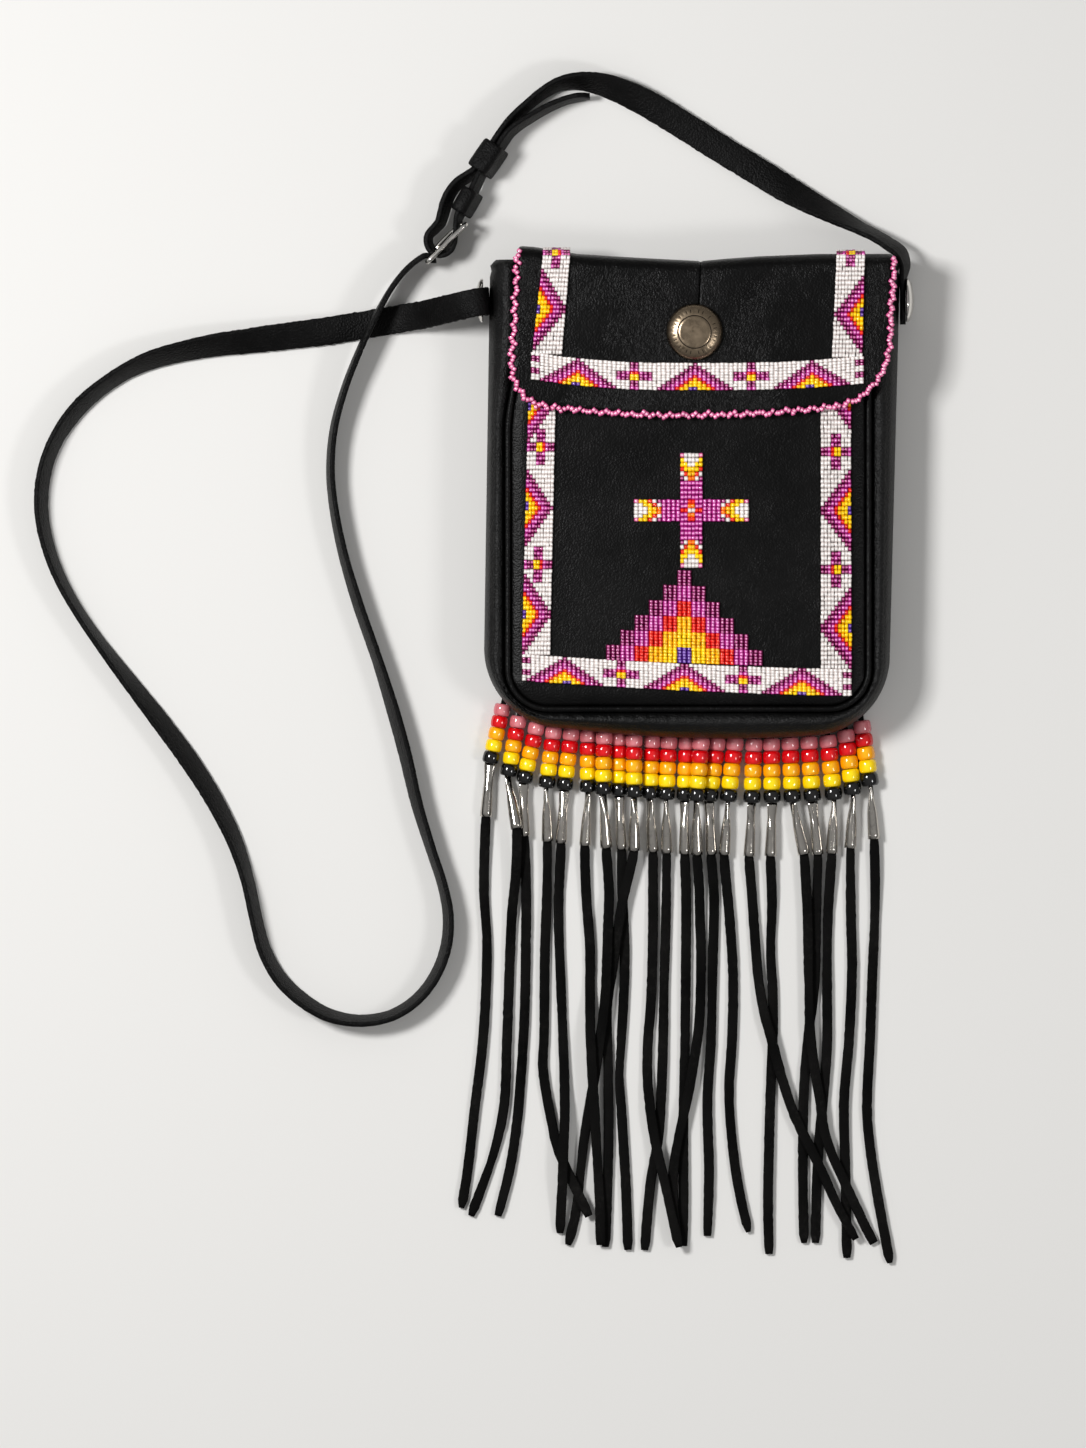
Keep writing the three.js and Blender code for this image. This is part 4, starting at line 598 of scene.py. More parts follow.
def new_group(name, inputs, outputs):
    group = bpy.data.node_groups.new(name, "ShaderNodeTree")
    for label, value in inputs.items():
        kind = "NodeSocketColor" if isinstance(value, tuple) else "NodeSocketFloat"
        socket = group.interface.new_socket(name=label, in_out="INPUT", socket_type=kind)
        socket.default_value = value
    for label, kind in outputs.items():
        group.interface.new_socket(name=label, in_out="OUTPUT", socket_type="NodeSocket" + kind)
    return group, group.nodes.new("NodeGroupInput"), group.nodes.new("NodeGroupOutput")


# Pebbled leather: grain height with patches of short wrinkles, and a slow change of tone
WRINKLE_STRETCH = (1.0, 0.55, 1.0)
leather_grain, grain_in, grain_out = new_group(
    "leather_grain", {"Scale": 900.0, "Pebbles": 1.0, "Creases": 0.4}, {"Height": "Float", "Tone": "Float"})
grain_place = shader_node(leather_grain, "TexCoord").outputs["Object"]
pebbles = shader_node(leather_grain, "TexVoronoi")
leather_grain.links.new(grain_place, pebbles.inputs["Vector"])
leather_grain.links.new(grain_in.outputs["Scale"], pebbles.inputs["Scale"])
pebble_height = combine(leather_grain, "SUBTRACT", 1.0, pebbles.outputs["Distance"])
pebble_share = noise_of(leather_grain, grain_place, scale=140.0, detail=3.0)
pebbled = combine(leather_grain, "MULTIPLY", pebble_height, pebble_share)
pebbled = combine(leather_grain, "MULTIPLY", pebbled, grain_in.outputs["Pebbles"])
stretched = shader_node(leather_grain, "VectorMath")
stretched.operation = "MULTIPLY"
leather_grain.links.new(grain_place, stretched.inputs[0])
stretched.inputs[1].default_value = WRINKLE_STRETCH
wrinkle = noise_of(leather_grain, stretched.outputs["Vector"], scale=460.0, detail=2.0, distortion=2.4)
wrinkle_patch = noise_of(leather_grain, grain_place, scale=26.0, detail=2.0)
wrinkle_patch = ranged(leather_grain, wrinkle_patch, from_low=0.42, from_high=0.64)
wrinkled = combine(leather_grain, "MULTIPLY", wrinkle, wrinkle_patch)
creased = combine(leather_grain, "MULTIPLY", wrinkled, grain_in.outputs["Creases"])
leather_grain.links.new(combine(leather_grain, "SUBTRACT", pebbled, creased), grain_out.inputs["Height"])
leather_tone = noise_of(leather_grain, grain_place, scale=30.0, detail=6.0)
leather_grain.links.new(leather_tone, grain_out.inputs["Tone"])

# Handling wear: a mask of faint scuffs
handling_wear, wear_in, wear_out = new_group("handling_wear", {"Amount": 0.3}, {"Mask": "Float"})
wear_place = shader_node(handling_wear, "TexCoord").outputs["Object"]
scuffs = noise_of(handling_wear, wear_place, scale=420.0, detail=6.0, distortion=0.8)
scuffs = ranged(handling_wear, scuffs, from_low=0.52, from_high=0.72)
patches = noise_of(handling_wear, wear_place, scale=24.0, detail=3.0)
patches = ranged(handling_wear, patches, from_low=0.42, from_high=0.68)
worn = combine(handling_wear, "MULTIPLY", scuffs, patches)
worn = combine(handling_wear, "MULTIPLY", worn, wear_in.outputs["Amount"])
handling_wear.links.new(worn, wear_out.inputs["Mask"])

# Glass beads: small differences from bead to bead, and a painted highlight, a paler crown colour where the
# surface faces up
bead_tint_and_painted_highlight, shade_in, shade_out = new_group(
    "bead_tint_and_painted_highlight", {"Color": (0.8, 0.8, 0.8, 1.0), "Crown": (1.0, 1.0, 1.0, 1.0), "Spread": 0.2},
    {"Color": "Color"})
bead_number = shader_node(bead_tint_and_painted_highlight, "NewGeometry").outputs["Random Per Island"]
swing = combine(bead_tint_and_painted_highlight, "SUBTRACT", bead_number, 0.5)
swing = combine(bead_tint_and_painted_highlight, "MULTIPLY", swing, shade_in.outputs["Spread"])
bead_facing = shader_node(bead_tint_and_painted_highlight, "SeparateXYZ")
bead_tint_and_painted_highlight.links.new(shader_node(bead_tint_and_painted_highlight, "TexCoord").outputs["Normal"], bead_facing.inputs["Vector"])
# Painted highlight: the crown colour takes over where the normal points nearly straight up
painted_highlight_share = ranged(bead_tint_and_painted_highlight, bead_facing.outputs["Z"], from_low=0.84, from_high=1.0)
painted_highlight_mix = bead_tint_and_painted_highlight.nodes.new("ShaderNodeMixRGB")
bead_tint_and_painted_highlight.links.new(painted_highlight_share, painted_highlight_mix.inputs["Fac"])
bead_tint_and_painted_highlight.links.new(shade_in.outputs["Color"], painted_highlight_mix.inputs["Color1"])
bead_tint_and_painted_highlight.links.new(shade_in.outputs["Crown"], painted_highlight_mix.inputs["Color2"])
bead_tint = shader_node(bead_tint_and_painted_highlight, "HueSaturation")
bead_tint_and_painted_highlight.links.new(combine(bead_tint_and_painted_highlight, "ADD", 1.0, swing), bead_tint.inputs["Value"])
bead_tint_and_painted_highlight.links.new(painted_highlight_mix.outputs["Color"], bead_tint.inputs["Color"])
bead_tint_and_painted_highlight.links.new(bead_tint.outputs["Color"], shade_out.inputs["Color"])

# Fine scratches and dull patches of metal
metal_marks, marks_in, marks_out = new_group(
    "metal_marks", {"Low": 0.1, "High": 0.3}, {"Roughness": "Float", "Height": "Float"})
marks_place = shader_node(metal_marks, "TexCoord").outputs["Object"]
dull = noise_of(metal_marks, marks_place, scale=260.0, detail=5.0)
dull = ranged(metal_marks, dull, from_low=0.35, from_high=0.7)
marks_span = combine(metal_marks, "SUBTRACT", marks_in.outputs["High"], marks_in.outputs["Low"])
marks_rough = combine(metal_marks, "MULTIPLY_ADD", dull, marks_span, marks_in.outputs["Low"])
metal_marks.links.new(marks_rough, marks_out.inputs["Roughness"])
scratches = noise_of(metal_marks, marks_place, scale=900.0, detail=4.0)
metal_marks.links.new(scratches, marks_out.inputs["Height"])


# Materials
def srgb(red, green, blue):
    shares = [value / 255 for value in (red, green, blue)]
    return tuple(s / 12.92 if s < 0.04045 else ((s + 0.055) / 1.055) ** 2.4 for s in shares) + (1.0,)


def new_material(name):
    made = bpy.data.materials.new(name)
    made.use_nodes = True
    return made, made.node_tree, made.node_tree.nodes["Principled BSDF"]


def use_group(tree, group, **inputs):
    node = tree.nodes.new("ShaderNodeGroup")
    node.node_tree = group
    for label, value in inputs.items():
        node.inputs[label].default_value = value
    return node


def two_tones(tree, share, dark, light):
    ramp = tree.nodes.new("ShaderNodeValToRGB")
    ramp.color_ramp.elements[0].color = dark
    ramp.color_ramp.elements[1].color = light
    tree.links.new(share, ramp.inputs["Fac"])
    return ramp.outputs["Color"]


def bump_from(tree, shader, height, strength, distance):
    bump = shader_node(tree, "Bump", Strength=strength, Distance=distance)
    tree.links.new(height, bump.inputs["Height"])
    tree.links.new(bump.outputs["Normal"], shader.inputs["Normal"])


def leather(name, dark, light, rough, sheen, pebbles, creases, wear, scale=1000.0):
    made, tree, shader = new_material(name)
    grain = use_group(tree, leather_grain, Scale=scale, Pebbles=pebbles, Creases=creases)
    mask = use_group(tree, handling_wear, Amount=wear).outputs["Mask"]
    tone = ranged(tree, grain.outputs["Tone"], from_low=0.3, from_high=0.7, to_high=0.5)
    tone = combine(tree, "ADD", tone, mask)
    tree.links.new(two_tones(tree, tone, dark, light), shader.inputs["Base Color"])
    matte = combine(tree, "ADD", grain.outputs["Tone"], mask)
    matte = ranged(tree, matte, from_low=0.3, from_high=1.0, to_low=rough[0], to_high=rough[1])
    tree.links.new(matte, shader.inputs["Roughness"])
    shader.inputs["Specular IOR Level"].default_value = sheen
    bump_from(tree, shader, grain.outputs["Height"], strength=1.0, distance=0.0006)
    return made


# The crown colour is painted on the bead's upward-facing top as a highlight
def bead_glass(name, colour, crown, spread, rough, coat):
    made, tree, shader = new_material(name)
    shade = use_group(tree, bead_tint_and_painted_highlight, Color=colour, Crown=crown, Spread=spread)
    tree.links.new(shade.outputs["Color"], shader.inputs["Base Color"])
    shader.inputs["Roughness"].default_value = rough
    shader.inputs["Specular IOR Level"].default_value = 0.6
    shader.inputs["Coat Weight"].default_value = coat
    shader.inputs["Coat Roughness"].default_value = 0.03
    return made


def metal(name, dark, light, low, high, relief):
    made, tree, shader = new_material(name)
    marks = use_group(tree, metal_marks, Low=low, High=high)
    mask = use_group(tree, handling_wear, Amount=1.0).outputs["Mask"]
    clean = combine(tree, "SUBTRACT", 1.0, mask)
    tree.links.new(two_tones(tree, clean, dark, light), shader.inputs["Base Color"])
    tree.links.new(marks.outputs["Roughness"], shader.inputs["Roughness"])
    shader.inputs["Metallic"].default_value = 1.0
    bump_from(tree, shader, marks.outputs["Height"], strength=relief, distance=0.0002)
    return made


BLACK_HIDE = (srgb(3, 3, 3), srgb(16, 15, 15))
body_leather = leather("body_leather", *BLACK_HIDE, rough=(0.36, 0.46), sheen=0.11,
                       pebbles=0.50, creases=0.35, wear=0.4)
gusset_hide = leather("gusset_hide", *BLACK_HIDE, rough=(0.48, 0.58), sheen=0.22,
                      pebbles=0.95, creases=0.3, wear=0.4)
flap_hide = leather("flap_hide", *BLACK_HIDE, rough=(0.32, 0.42), sheen=0.11,
                    pebbles=0.50, creases=1.10, wear=0.4)
strap_leather = leather("strap_leather", srgb(3, 3, 3), srgb(20, 19, 19), rough=(0.46, 0.60), sheen=0.10,
                        pebbles=1.0, creases=0.3, wear=0.6)
thong_suede = leather("thong_suede", srgb(4, 4, 4), srgb(28, 27, 26), rough=(0.70, 0.85), sheen=0.04,
                      pebbles=0.6, creases=0.1, wear=0.7, scale=1900.0)
# Near-black and without sheen: painted shade for the seam groove on the fold
seam_painted_shade = leather("seam_painted_shade", srgb(2, 2, 2), srgb(5, 5, 5), rough=(0.8, 0.9), sheen=0.0,
                     pebbles=0.1, creases=0.0, wear=0.0)

# Bead colours, each with the paler crown colour of its painted highlight
SEED_COLOURS = dict(
    white=(srgb(224, 214, 210), srgb(255, 252, 249)), plum=(srgb(108, 6, 66), srgb(220, 112, 174)),
    lilac=(srgb(178, 38, 134), srgb(248, 156, 220)), red=(srgb(214, 16, 10), srgb(255, 62, 30)),
    orange=(srgb(250, 104, 0), srgb(255, 150, 20)), gold=(srgb(244, 170, 0), srgb(255, 214, 16)),
    yellow=(srgb(252, 200, 0), srgb(255, 230, 24)), violet=(srgb(78, 36, 134), srgb(150, 112, 202)),
    pink=(srgb(218, 92, 148), srgb(255, 196, 220)))
SEED_NAMES = list(SEED_COLOURS)
seed_glass = [bead_glass("seed_" + name, *pair, spread=0.20, rough=0.16, coat=0.15)
              for name, pair in SEED_COLOURS.items()]
PONY_COLOURS = dict(
    rose=(srgb(204, 108, 116), srgb(224, 136, 142)), red=(srgb(206, 4, 14), srgb(226, 10, 20)),
    gold=(srgb(246, 162, 0), srgb(254, 182, 6)), yellow=(srgb(250, 208, 0), srgb(255, 224, 4)),
    black=(srgb(9, 9, 9), srgb(14, 13, 13)))
pony_glass = [bead_glass("pony_" + name, *pair, spread=0.10, rough=0.07, coat=0.15)
              for name, pair in PONY_COLOURS.items()]

# Metals: bright for buckle and domes, thin sheet for cones, aged for the flap button, and near-black in its
# groove and notches as painted shade
bright_metal = metal("bright_metal", srgb(160, 157, 153), srgb(214, 211, 206),
                     low=0.10, high=0.20, relief=0.03)
cone_metal = metal("cone_metal", srgb(118, 113, 106), srgb(192, 187, 180),
                   low=0.07, high=0.13, relief=0.01)
aged_metal = metal("aged_metal", srgb(86, 74, 60), srgb(142, 126, 106),
                   low=0.24, high=0.38, relief=0.10)
recess_painted_shade = metal("recess_painted_shade", srgb(14, 12, 10), srgb(40, 35, 30),
                    low=0.5, high=0.65, relief=0.10)

# Camera straight above, framed as the photograph
camera_data = bpy.data.cameras.new("photo_camera")
camera_data.sensor_fit = "VERTICAL"
camera_data.sensor_height = SENSOR_HEIGHT
camera_data.lens = SENSOR_HEIGHT * CAMERA_HEIGHT / (PHOTO_HEIGHT * METRES_PER_PIXEL)
photo_camera = bpy.data.objects.new("photo_camera", camera_data)
photo_camera.location = ((PHOTO_WIDTH / 2 - ORIGIN_PIXEL[0]) * METRES_PER_PIXEL,
                         (ORIGIN_PIXEL[1] - PHOTO_HEIGHT / 2) * METRES_PER_PIXEL, CAMERA_HEIGHT)
bpy.context.scene.collection.objects.link(photo_camera)
bpy.context.scene.camera = photo_camera

# Strap lengths: whole widths, rounded at the ends
STRAP_CORNER = 0.0009
STRAP_CROWN = 0.0002
STRAP_SPACING = 0.0015
STRAP_ROUGH = 0.00042
STRAP_END_ROUND = 0.55 * STRAP_WIDTH
STRAP_END_NARROW = 0.35


def strap_piece(name, points, seed):
    route = smooth_route(points, STRAP_SPACING)
    runs = run_lengths(route[:, :3])
    to_end = np.minimum(runs, runs[-1] - runs)
    wide = np.maximum(STRAP_END_NARROW, rounded(to_end / STRAP_END_ROUND))
    thin = np.ones(len(wide))
    sections = band_sections(STRAP_WIDTH, STRAP_THICKNESS, STRAP_CORNER, STRAP_CROWN, wide, thin)
    piece, path = band_piece(name, route, sections, STRAP_ROUGH, seed, strap_leather)
    return piece, path, runs[-1]


strap_buckle, buckle_path, buckle_length = strap_piece("strap_buckle_length", STRAP_LEFT_ROUTE, seed=2.0)
strap_tongue, tongue_path, tongue_length = strap_piece("strap_tongue_length", STRAP_RIGHT_ROUTE, seed=7.0)
dress(strap_buckle, "bag", "black_leather", "strap_left")
dress(strap_tongue, "bag", "black_leather", "strap_right")

# Buckle: round wire bent into a frame, with a bar across it and a pin from the bar to the far end
BUCKLE_CENTRE = np.array((-0.1231, 0.1256, 0.0102))
BUCKLE_HEADING = math.radians(44.5)
BUCKLE_ALONG = np.array((math.cos(BUCKLE_HEADING), math.sin(BUCKLE_HEADING), 0))
BUCKLE_OUT = np.array((math.sin(BUCKLE_HEADING), -math.cos(BUCKLE_HEADING), 0))
BUCKLE_LENGTH = 0.0292
BUCKLE_HEIGHT = 0.0192
BUCKLE_WIRE = 0.0023
BUCKLE_CORNER = 0.0024
BUCKLE_CORNER_STEPS = 9
BUCKLE_SIDES = 14
BAR_AT = -0.0034
BAR_WIRE = 0.8 * BUCKLE_WIRE
BAR_STEPS = 6
PIN_EYE = 0.0024
PIN_EYE_TURNS = np.radians(np.arange(300, 90, -15))
PIN_REACH = BUCKLE_LENGTH / 2 - 0.0016
PIN_STEPS = 14
PIN_RISE = 0.0006
PIN_BOW = 0.0004
PIN_RADIUS = 0.001
PIN_TIP_RADIUS = 0.0006
PIN_TIP_STEPS = 3
PIN_SIDES = 10


def buckle_place(along, up, out=0.0):
    return BUCKLE_CENTRE + BUCKLE_ALONG * along + UP * up + BUCKLE_OUT * out


half_along = BUCKLE_LENGTH / 2 - BUCKLE_WIRE / 2
half_up = BUCKLE_HEIGHT / 2 - BUCKLE_WIRE / 2
frame_loop = rounded_loop(half_along, half_up, BUCKLE_CORNER, BUCKLE_CORNER_STEPS)
frame_line = [buckle_place(along, up) for along, up in frame_loop]
frame_points = wire_points(frame_line, BUCKLE_WIRE / 2, BUCKLE_SIDES, BUCKLE_OUT, True)
frame_faces = ring_faces(len(frame_line), BUCKLE_SIDES, looped=True)
bar_line = [buckle_place(BAR_AT, up) for up in np.linspace(-half_up, half_up, BAR_STEPS)]
bar_points = wire_points(bar_line, BAR_WIRE / 2, BUCKLE_SIDES, BUCKLE_OUT, False)
bar_faces = [tuple(i + len(frame_points) for i in face) for face in ring_faces(BAR_STEPS, BUCKLE_SIDES)]
buckle_points = np.vstack([frame_points, bar_points])
buckle_ring = make_piece("buckle_ring", buckle_points, frame_faces + bar_faces, [bright_metal])
dress(buckle_ring, "bag", "bright_metal", "buckle_frame")

pin_line = [buckle_place(BAR_AT + PIN_EYE * math.cos(turn), 0, -PIN_EYE * math.sin(turn))
            for turn in PIN_EYE_TURNS]
for t in np.linspace(0, 1, PIN_STEPS):
    along = mixed(BAR_AT, PIN_REACH, t)
    pin_line.append(buckle_place(along, 0, PIN_RISE * t - PIN_BOW * math.sin(math.pi * t) - PIN_EYE))
pin_tip = len(pin_line) - 1
pin_radius = np.interp(np.arange(len(pin_line)), [0, pin_tip - PIN_TIP_STEPS, pin_tip],
                       [PIN_RADIUS, PIN_RADIUS, PIN_TIP_RADIUS])
pin_points = wire_points(pin_line, pin_radius, PIN_SIDES, UP, False)
buckle_pin = make_piece("buckle_pin", pin_points, ring_faces(len(pin_line), PIN_SIDES), [bright_metal])
dress(buckle_pin, "bag", "bright_metal", "buckle_prong")

# Keepers: leather loops round the strap, tilted with it
KEEPER_TILT = math.radians(75)
KEEPER_WALL = 0.0021
KEEPER_PLAY = 0.0008
KEEPER_ROUND = 0.0025
KEEPER_CORNER_STEPS = 7
KEEPER_SIDES = 12
KEEPER_FACE_POWER = 0.7
KEEPER_EDGE_POWER = 0.35
STRAP_PITCH = 0.0031


# A power that keeps its sign, for squarish rounds
def squared(value, power):
    return np.sign(value) * np.abs(value) ** power


def keeper_piece(name, place, heading, length, layers):
    heading = math.radians(heading)
    along = np.array((math.cos(heading), math.sin(heading), 0))
    level = np.array((-math.sin(heading), math.cos(heading), 0))
    across = level * math.cos(KEEPER_TILT) + UP * math.sin(KEEPER_TILT)
    out = np.cross(along, across)
    half_thick = (STRAP_THICKNESS + (layers - 1) * STRAP_PITCH) / 2 + KEEPER_PLAY + KEEPER_WALL / 2
    half_wide = STRAP_WIDTH / 2 + KEEPER_PLAY + KEEPER_WALL / 2
    flat_loop = rounded_loop(half_wide, half_thick, KEEPER_ROUND, KEEPER_CORNER_STEPS)
    loop = np.array([across * wide + out * thick for wide, thick in flat_loop])
    outward = np.gradient(np.vstack([loop[-1:], loop, loop[:1]]), axis=0)[1:-1]
    outward = np.cross(unit_rows(outward), along)
    turns = np.arange(KEEPER_SIDES) * 2 * math.pi / KEEPER_SIDES
    wall = squared(np.cos(turns), KEEPER_FACE_POWER) * KEEPER_WALL / 2
    reach = squared(np.sin(turns), KEEPER_EDGE_POWER) * length / 2
    points = np.array(place) + loop[:, None] + outward[:, None] * wall[None, :, None]
    points = points + along * reach[None, :, None]
    faces = ring_faces(len(loop), KEEPER_SIDES, looped=True)
    return make_piece(name, points.reshape(-1, 3), faces, [strap_leather])


keeper_loop_fixed = keeper_piece("keeper_loop_fixed", place=(-0.1129, 0.1462, 0.0107), heading=60,
                                 length=0.013, layers=1)
keeper_loop_sliding = keeper_piece("keeper_loop_sliding", place=(-0.10235, 0.16795, 0.0107), heading=55.5,
                                   length=0.0158, layers=2)
dress(keeper_loop_fixed, "bag", "black_leather", "keeper_fixed")
dress(keeper_loop_sliding, "keeper", "black_leather", "keeper_sliding")

# Fringe beads: a stack of one of each colour on every thong, growing from left to right
STACK_BEADS = len(PONY_COLOURS)
STACK_HEIGHT = 0.004
STACK_RAISE = 0.0012
STACKS_NOT_RAISED = 2
BEAD_SIZES = (0.97, 1.05)
BEAD_TILT = 0.05
BEAD_TILT_WAYS = (1, 0, 0.5)
PONY_AROUND = 24
PONY_PROFILE = 14
PONY_SIDE_POWER = 0.8
PONY_END_POWER = 0.72
PONY_FILL = 0.492


def pony_rings(place, axis, size):
    middle = (PONY_RADIUS + PONY_HOLE) / 2
    wall = (PONY_RADIUS - PONY_HOLE) / 2
    profile = []
    for turn in np.arange(PONY_PROFILE) * 2 * math.pi / PONY_PROFILE:
        round_out = squared(math.cos(turn), PONY_SIDE_POWER)
        round_end = squared(math.sin(turn), PONY_END_POWER)
        profile.append((size * (middle + wall * round_out), size * PONY_FILL * PONY_PITCH * round_end))
    return turned_points(profile, PONY_AROUND, place, axis)


def bead_stack(name, top, way, pitch, size, chance):
    beads = []
    for i in range(STACK_BEADS):
        tilt = way + chance.uniform(-BEAD_TILT, BEAD_TILT, 3) * BEAD_TILT_WAYS
        beads.append(pony_rings(top + way * (i + 0.5) * pitch, tilt, size))
    faces = bead_faces(PONY_PROFILE, PONY_AROUND, STACK_BEADS)
    slots = np.repeat(np.arange(STACK_BEADS), PONY_PROFILE * PONY_AROUND).tolist()
    return make_piece(name, np.vstack(beads), faces, pony_glass, slots)


# Fringe cones: a thin sheet rolled past its own edge, pressed flat at the top
CONE_TURNS = 27
CONE_ROWS = 14
CONE_SHEET = 0.0003
CONE_TOP_THIN = 0.0007
CONE_WIDTHS = ((0.0, 0.0025), (0.1, 0.0025), (0.3, 0.0021), (1.0, CONE_END_RADIUS))
CONE_ROUND_BY = 0.55
CONE_LAP = 1.08
CONE_SPIRAL = (0.93, 1.05)
CONE_TUCK = 0.0006
CONE_SEAM_TURNS = (0, 6)
CONE_CRIMP_TURNS = (0, math.pi)


def rolled_cone(name, start, end, seam_turn, crimp_turn):
    way = unit(end - start)
    side = unit(np.cross(way, UP))
    up = np.cross(side, way)
    flat = side * math.cos(crimp_turn) + up * math.sin(crimp_turn)
    thin = up * math.cos(crimp_turn) - side * math.sin(crimp_turn)
    turns = seam_turn + np.linspace(0, 2 * math.pi * CONE_LAP, CONE_TURNS)
    grow = np.linspace(*CONE_SPIRAL, CONE_TURNS)
    rows = []
    for t in np.linspace(0, 1, CONE_ROWS):
        wide_half = np.interp(t, *np.transpose(CONE_WIDTHS))
        thin_half = mixed(CONE_TOP_THIN, wide_half, eased(t, 0, CONE_ROUND_BY))
        ring = np.outer(np.cos(turns) * grow * wide_half, flat)
        ring = ring + np.outer(np.sin(turns) * grow * thin_half, thin)
        rows.append(mixed(start, end, t) + ring)
    return sheet_piece(name, np.array(rows), CONE_SHEET / 2, [cone_metal])


# Fringe thongs: gathered inside the beads and the cone, flat below it, nicked and gently rolled
THONG_SPACING = 0.0022
THONG_ROUGH = 0.0002
THONG_CORNER = 0.0006
THONG_CROWN = 0.00015
THONG_INTO_BAG = 0.003
THONG_IN_CONE = 0.75
THONG_CONE_DROP = 0.0002
# Shares of full width and thickness, from the top to just before and just after the cone's mouth
THONG_GATHERS = (0.55, 0.45, 0.8, 1.0)
THONG_THINS = (0.55, 0.7, 1.0)
MOUTH_BEFORE = (0.002, 0.004)
MOUTH_AFTER = 0.004
# Cut tips, nicks in the edges and the roll of the thong about its length
THONG_TIP = 0.004
TIP_WIDTHS = (0.5, 0.9)
NICKS = 2
NICK_DEPTH = 0.12
NICK_LENGTH = 0.012
THONG_ROLL = 10
ROLL_RATES = (20, 40)
ROLL_STARTS = (0, 6)
ROLL_FROM = 0.02


def thong_band(name, places, leave, seed, chance):
    route = smooth_route([tuple(place) + (0,) for place in places], THONG_SPACING)
    runs = run_lengths(route[:, :3])
    mouth = leave + CONE_LENGTH
    wide = np.interp(runs, [0, leave, mouth - MOUTH_BEFORE[0], mouth + MOUTH_AFTER], THONG_GATHERS)
    wide = wide * np.interp(runs[-1] - runs, [0, THONG_TIP], [chance.uniform(*TIP_WIDTHS), 1])
    for _ in range(NICKS):
        nick_at = chance.uniform(mouth, runs[-1])
        wide = wide * (1 - chance.uniform(0.0, NICK_DEPTH) * bell(runs, nick_at, NICK_LENGTH))
    thin = np.interp(runs, [0, mouth - MOUTH_BEFORE[1], mouth + MOUTH_AFTER], THONG_THINS)
    sections = band_sections(THONG_WIDTH, THONG_THICKNESS, THONG_CORNER, THONG_CROWN, wide, thin)
    swing = np.sin(runs * chance.uniform(*ROLL_RATES) + chance.uniform(*ROLL_STARTS))
    route[:, 3] = THONG_ROLL * swing * eased(runs, mouth, mouth + ROLL_FROM)
    route[:, 2] += THONG_WIDTH / 2 * np.abs(np.sin(np.radians(route[:, 3])))
    piece, path = band_piece(name, route, sections, THONG_ROUGH, seed, thong_suede)
    return piece, path, runs


# One strand: a suede thong through five pony beads and a rolled cone
THONG_SEED = 11.0


def fringe_strand(number, spot, points, chance):
    x, drop, lean, cone_lean, lift, cone_lift = spot
    size = mixed(BEAD_SIZES[0], BEAD_SIZES[1], (number - 1) / (len(STRANDS) - 1))
    pitch = PONY_PITCH * size
    top_y = bottom_at(FRINGE_OUTLINE, x) - GAP - drop + STACK_RAISE * (number > STACKS_NOT_RAISED)
    top = np.array((x, top_y, FLOOR_GAP + STACK_HEIGHT + lift))
    way = unit((lean, -1, 0))
    thong_beads = bead_stack(f"thong_beads_{number:02d}", top, way, pitch, size, chance)
    stack_end = top + way * STACK_BEADS * pitch
    cone_end = stack_end + unit((cone_lean, -1, 0)) * CONE_LENGTH
    cone_end[2] = FLOOR_GAP + CONE_END_RADIUS + cone_lift
    cone_start = stack_end - unit(cone_end - stack_end) * CONE_TUCK
    thong_cone = rolled_cone(f"thong_cone_{number:02d}", cone_start, cone_end,
                             chance.uniform(*CONE_SEAM_TURNS), chance.uniform(*CONE_CRIMP_TURNS))
    start = top - way * THONG_INTO_BAG
    inside = mixed(cone_start, cone_end, THONG_IN_CONE)
    places = [start, top, stack_end, inside, cone_end - UP * THONG_CONE_DROP] + [np.array(p) for p in points]
    leave = np.linalg.norm(stack_end - start)
    thong, path, runs = thong_band(f"thong_{number:02d}", places, leave, THONG_SEED + number, chance)
    dress(thong, "bag", "fringe", f"fringe_strand_{number:02d}")
    dress(thong_beads, "bag", "red_beads", f"fringe_strand_{number:02d}")
    dress(thong_cone, "bag", "bright_metal", f"fringe_strand_{number:02d}")


fringe_chance = np.random.default_rng(41)
for number, (spot, points) in enumerate(STRANDS, 1):
    fringe_strand(number, spot, points, fringe_chance)

# Shared forms of the body: the fold sinks towards its centre seam
DIP_FROM_Y = 0.085
FOLD_DIP = [(-0.090, -0.0016), (-0.083, -0.0012), (-0.075, 0.0), (-0.061, 0.0024), (-0.036, 0.004),
            (0.001, 0.006), (0.0135, 0.0048), (0.030, 0.0036), (0.060, 0.0024), (0.0965, 0.0024)]


def fold_dip(x):
    return np.interp(x, *np.transpose(FOLD_DIP))


# Under the flap the left seam leans inwards
SEAM_LEAN = 0.0065
SEAM_LEAN_Y = (0.030, 0.080)
SEAM_LEAN_X = (0.060, 0.088)


def seam_lean(x, y):
    return SEAM_LEAN * eased(y, *SEAM_LEAN_Y) * eased(-x, *SEAM_LEAN_X)


# The front swells a little below its middle, with slow waves, and lies flat under the flap
SWELL_AT = (-0.002, -0.035)
SWELL_HEIGHT = 0.0009
SWELL_WIDTH = 0.055
FRONT_WAVES = 0.00035
FRONT_FLAT_Y = (0.005, 0.032)


def front_rise(x, y):
    apart = (x - SWELL_AT[0]) ** 2 + (y - SWELL_AT[1]) ** 2
    swell = SWELL_HEIGHT * np.exp(-apart / SWELL_WIDTH**2)
    return (swell + FRONT_WAVES * wander_over(x, y, scale=32, seed=3.0)) * (1 - eased(y, *FRONT_FLAT_Y))


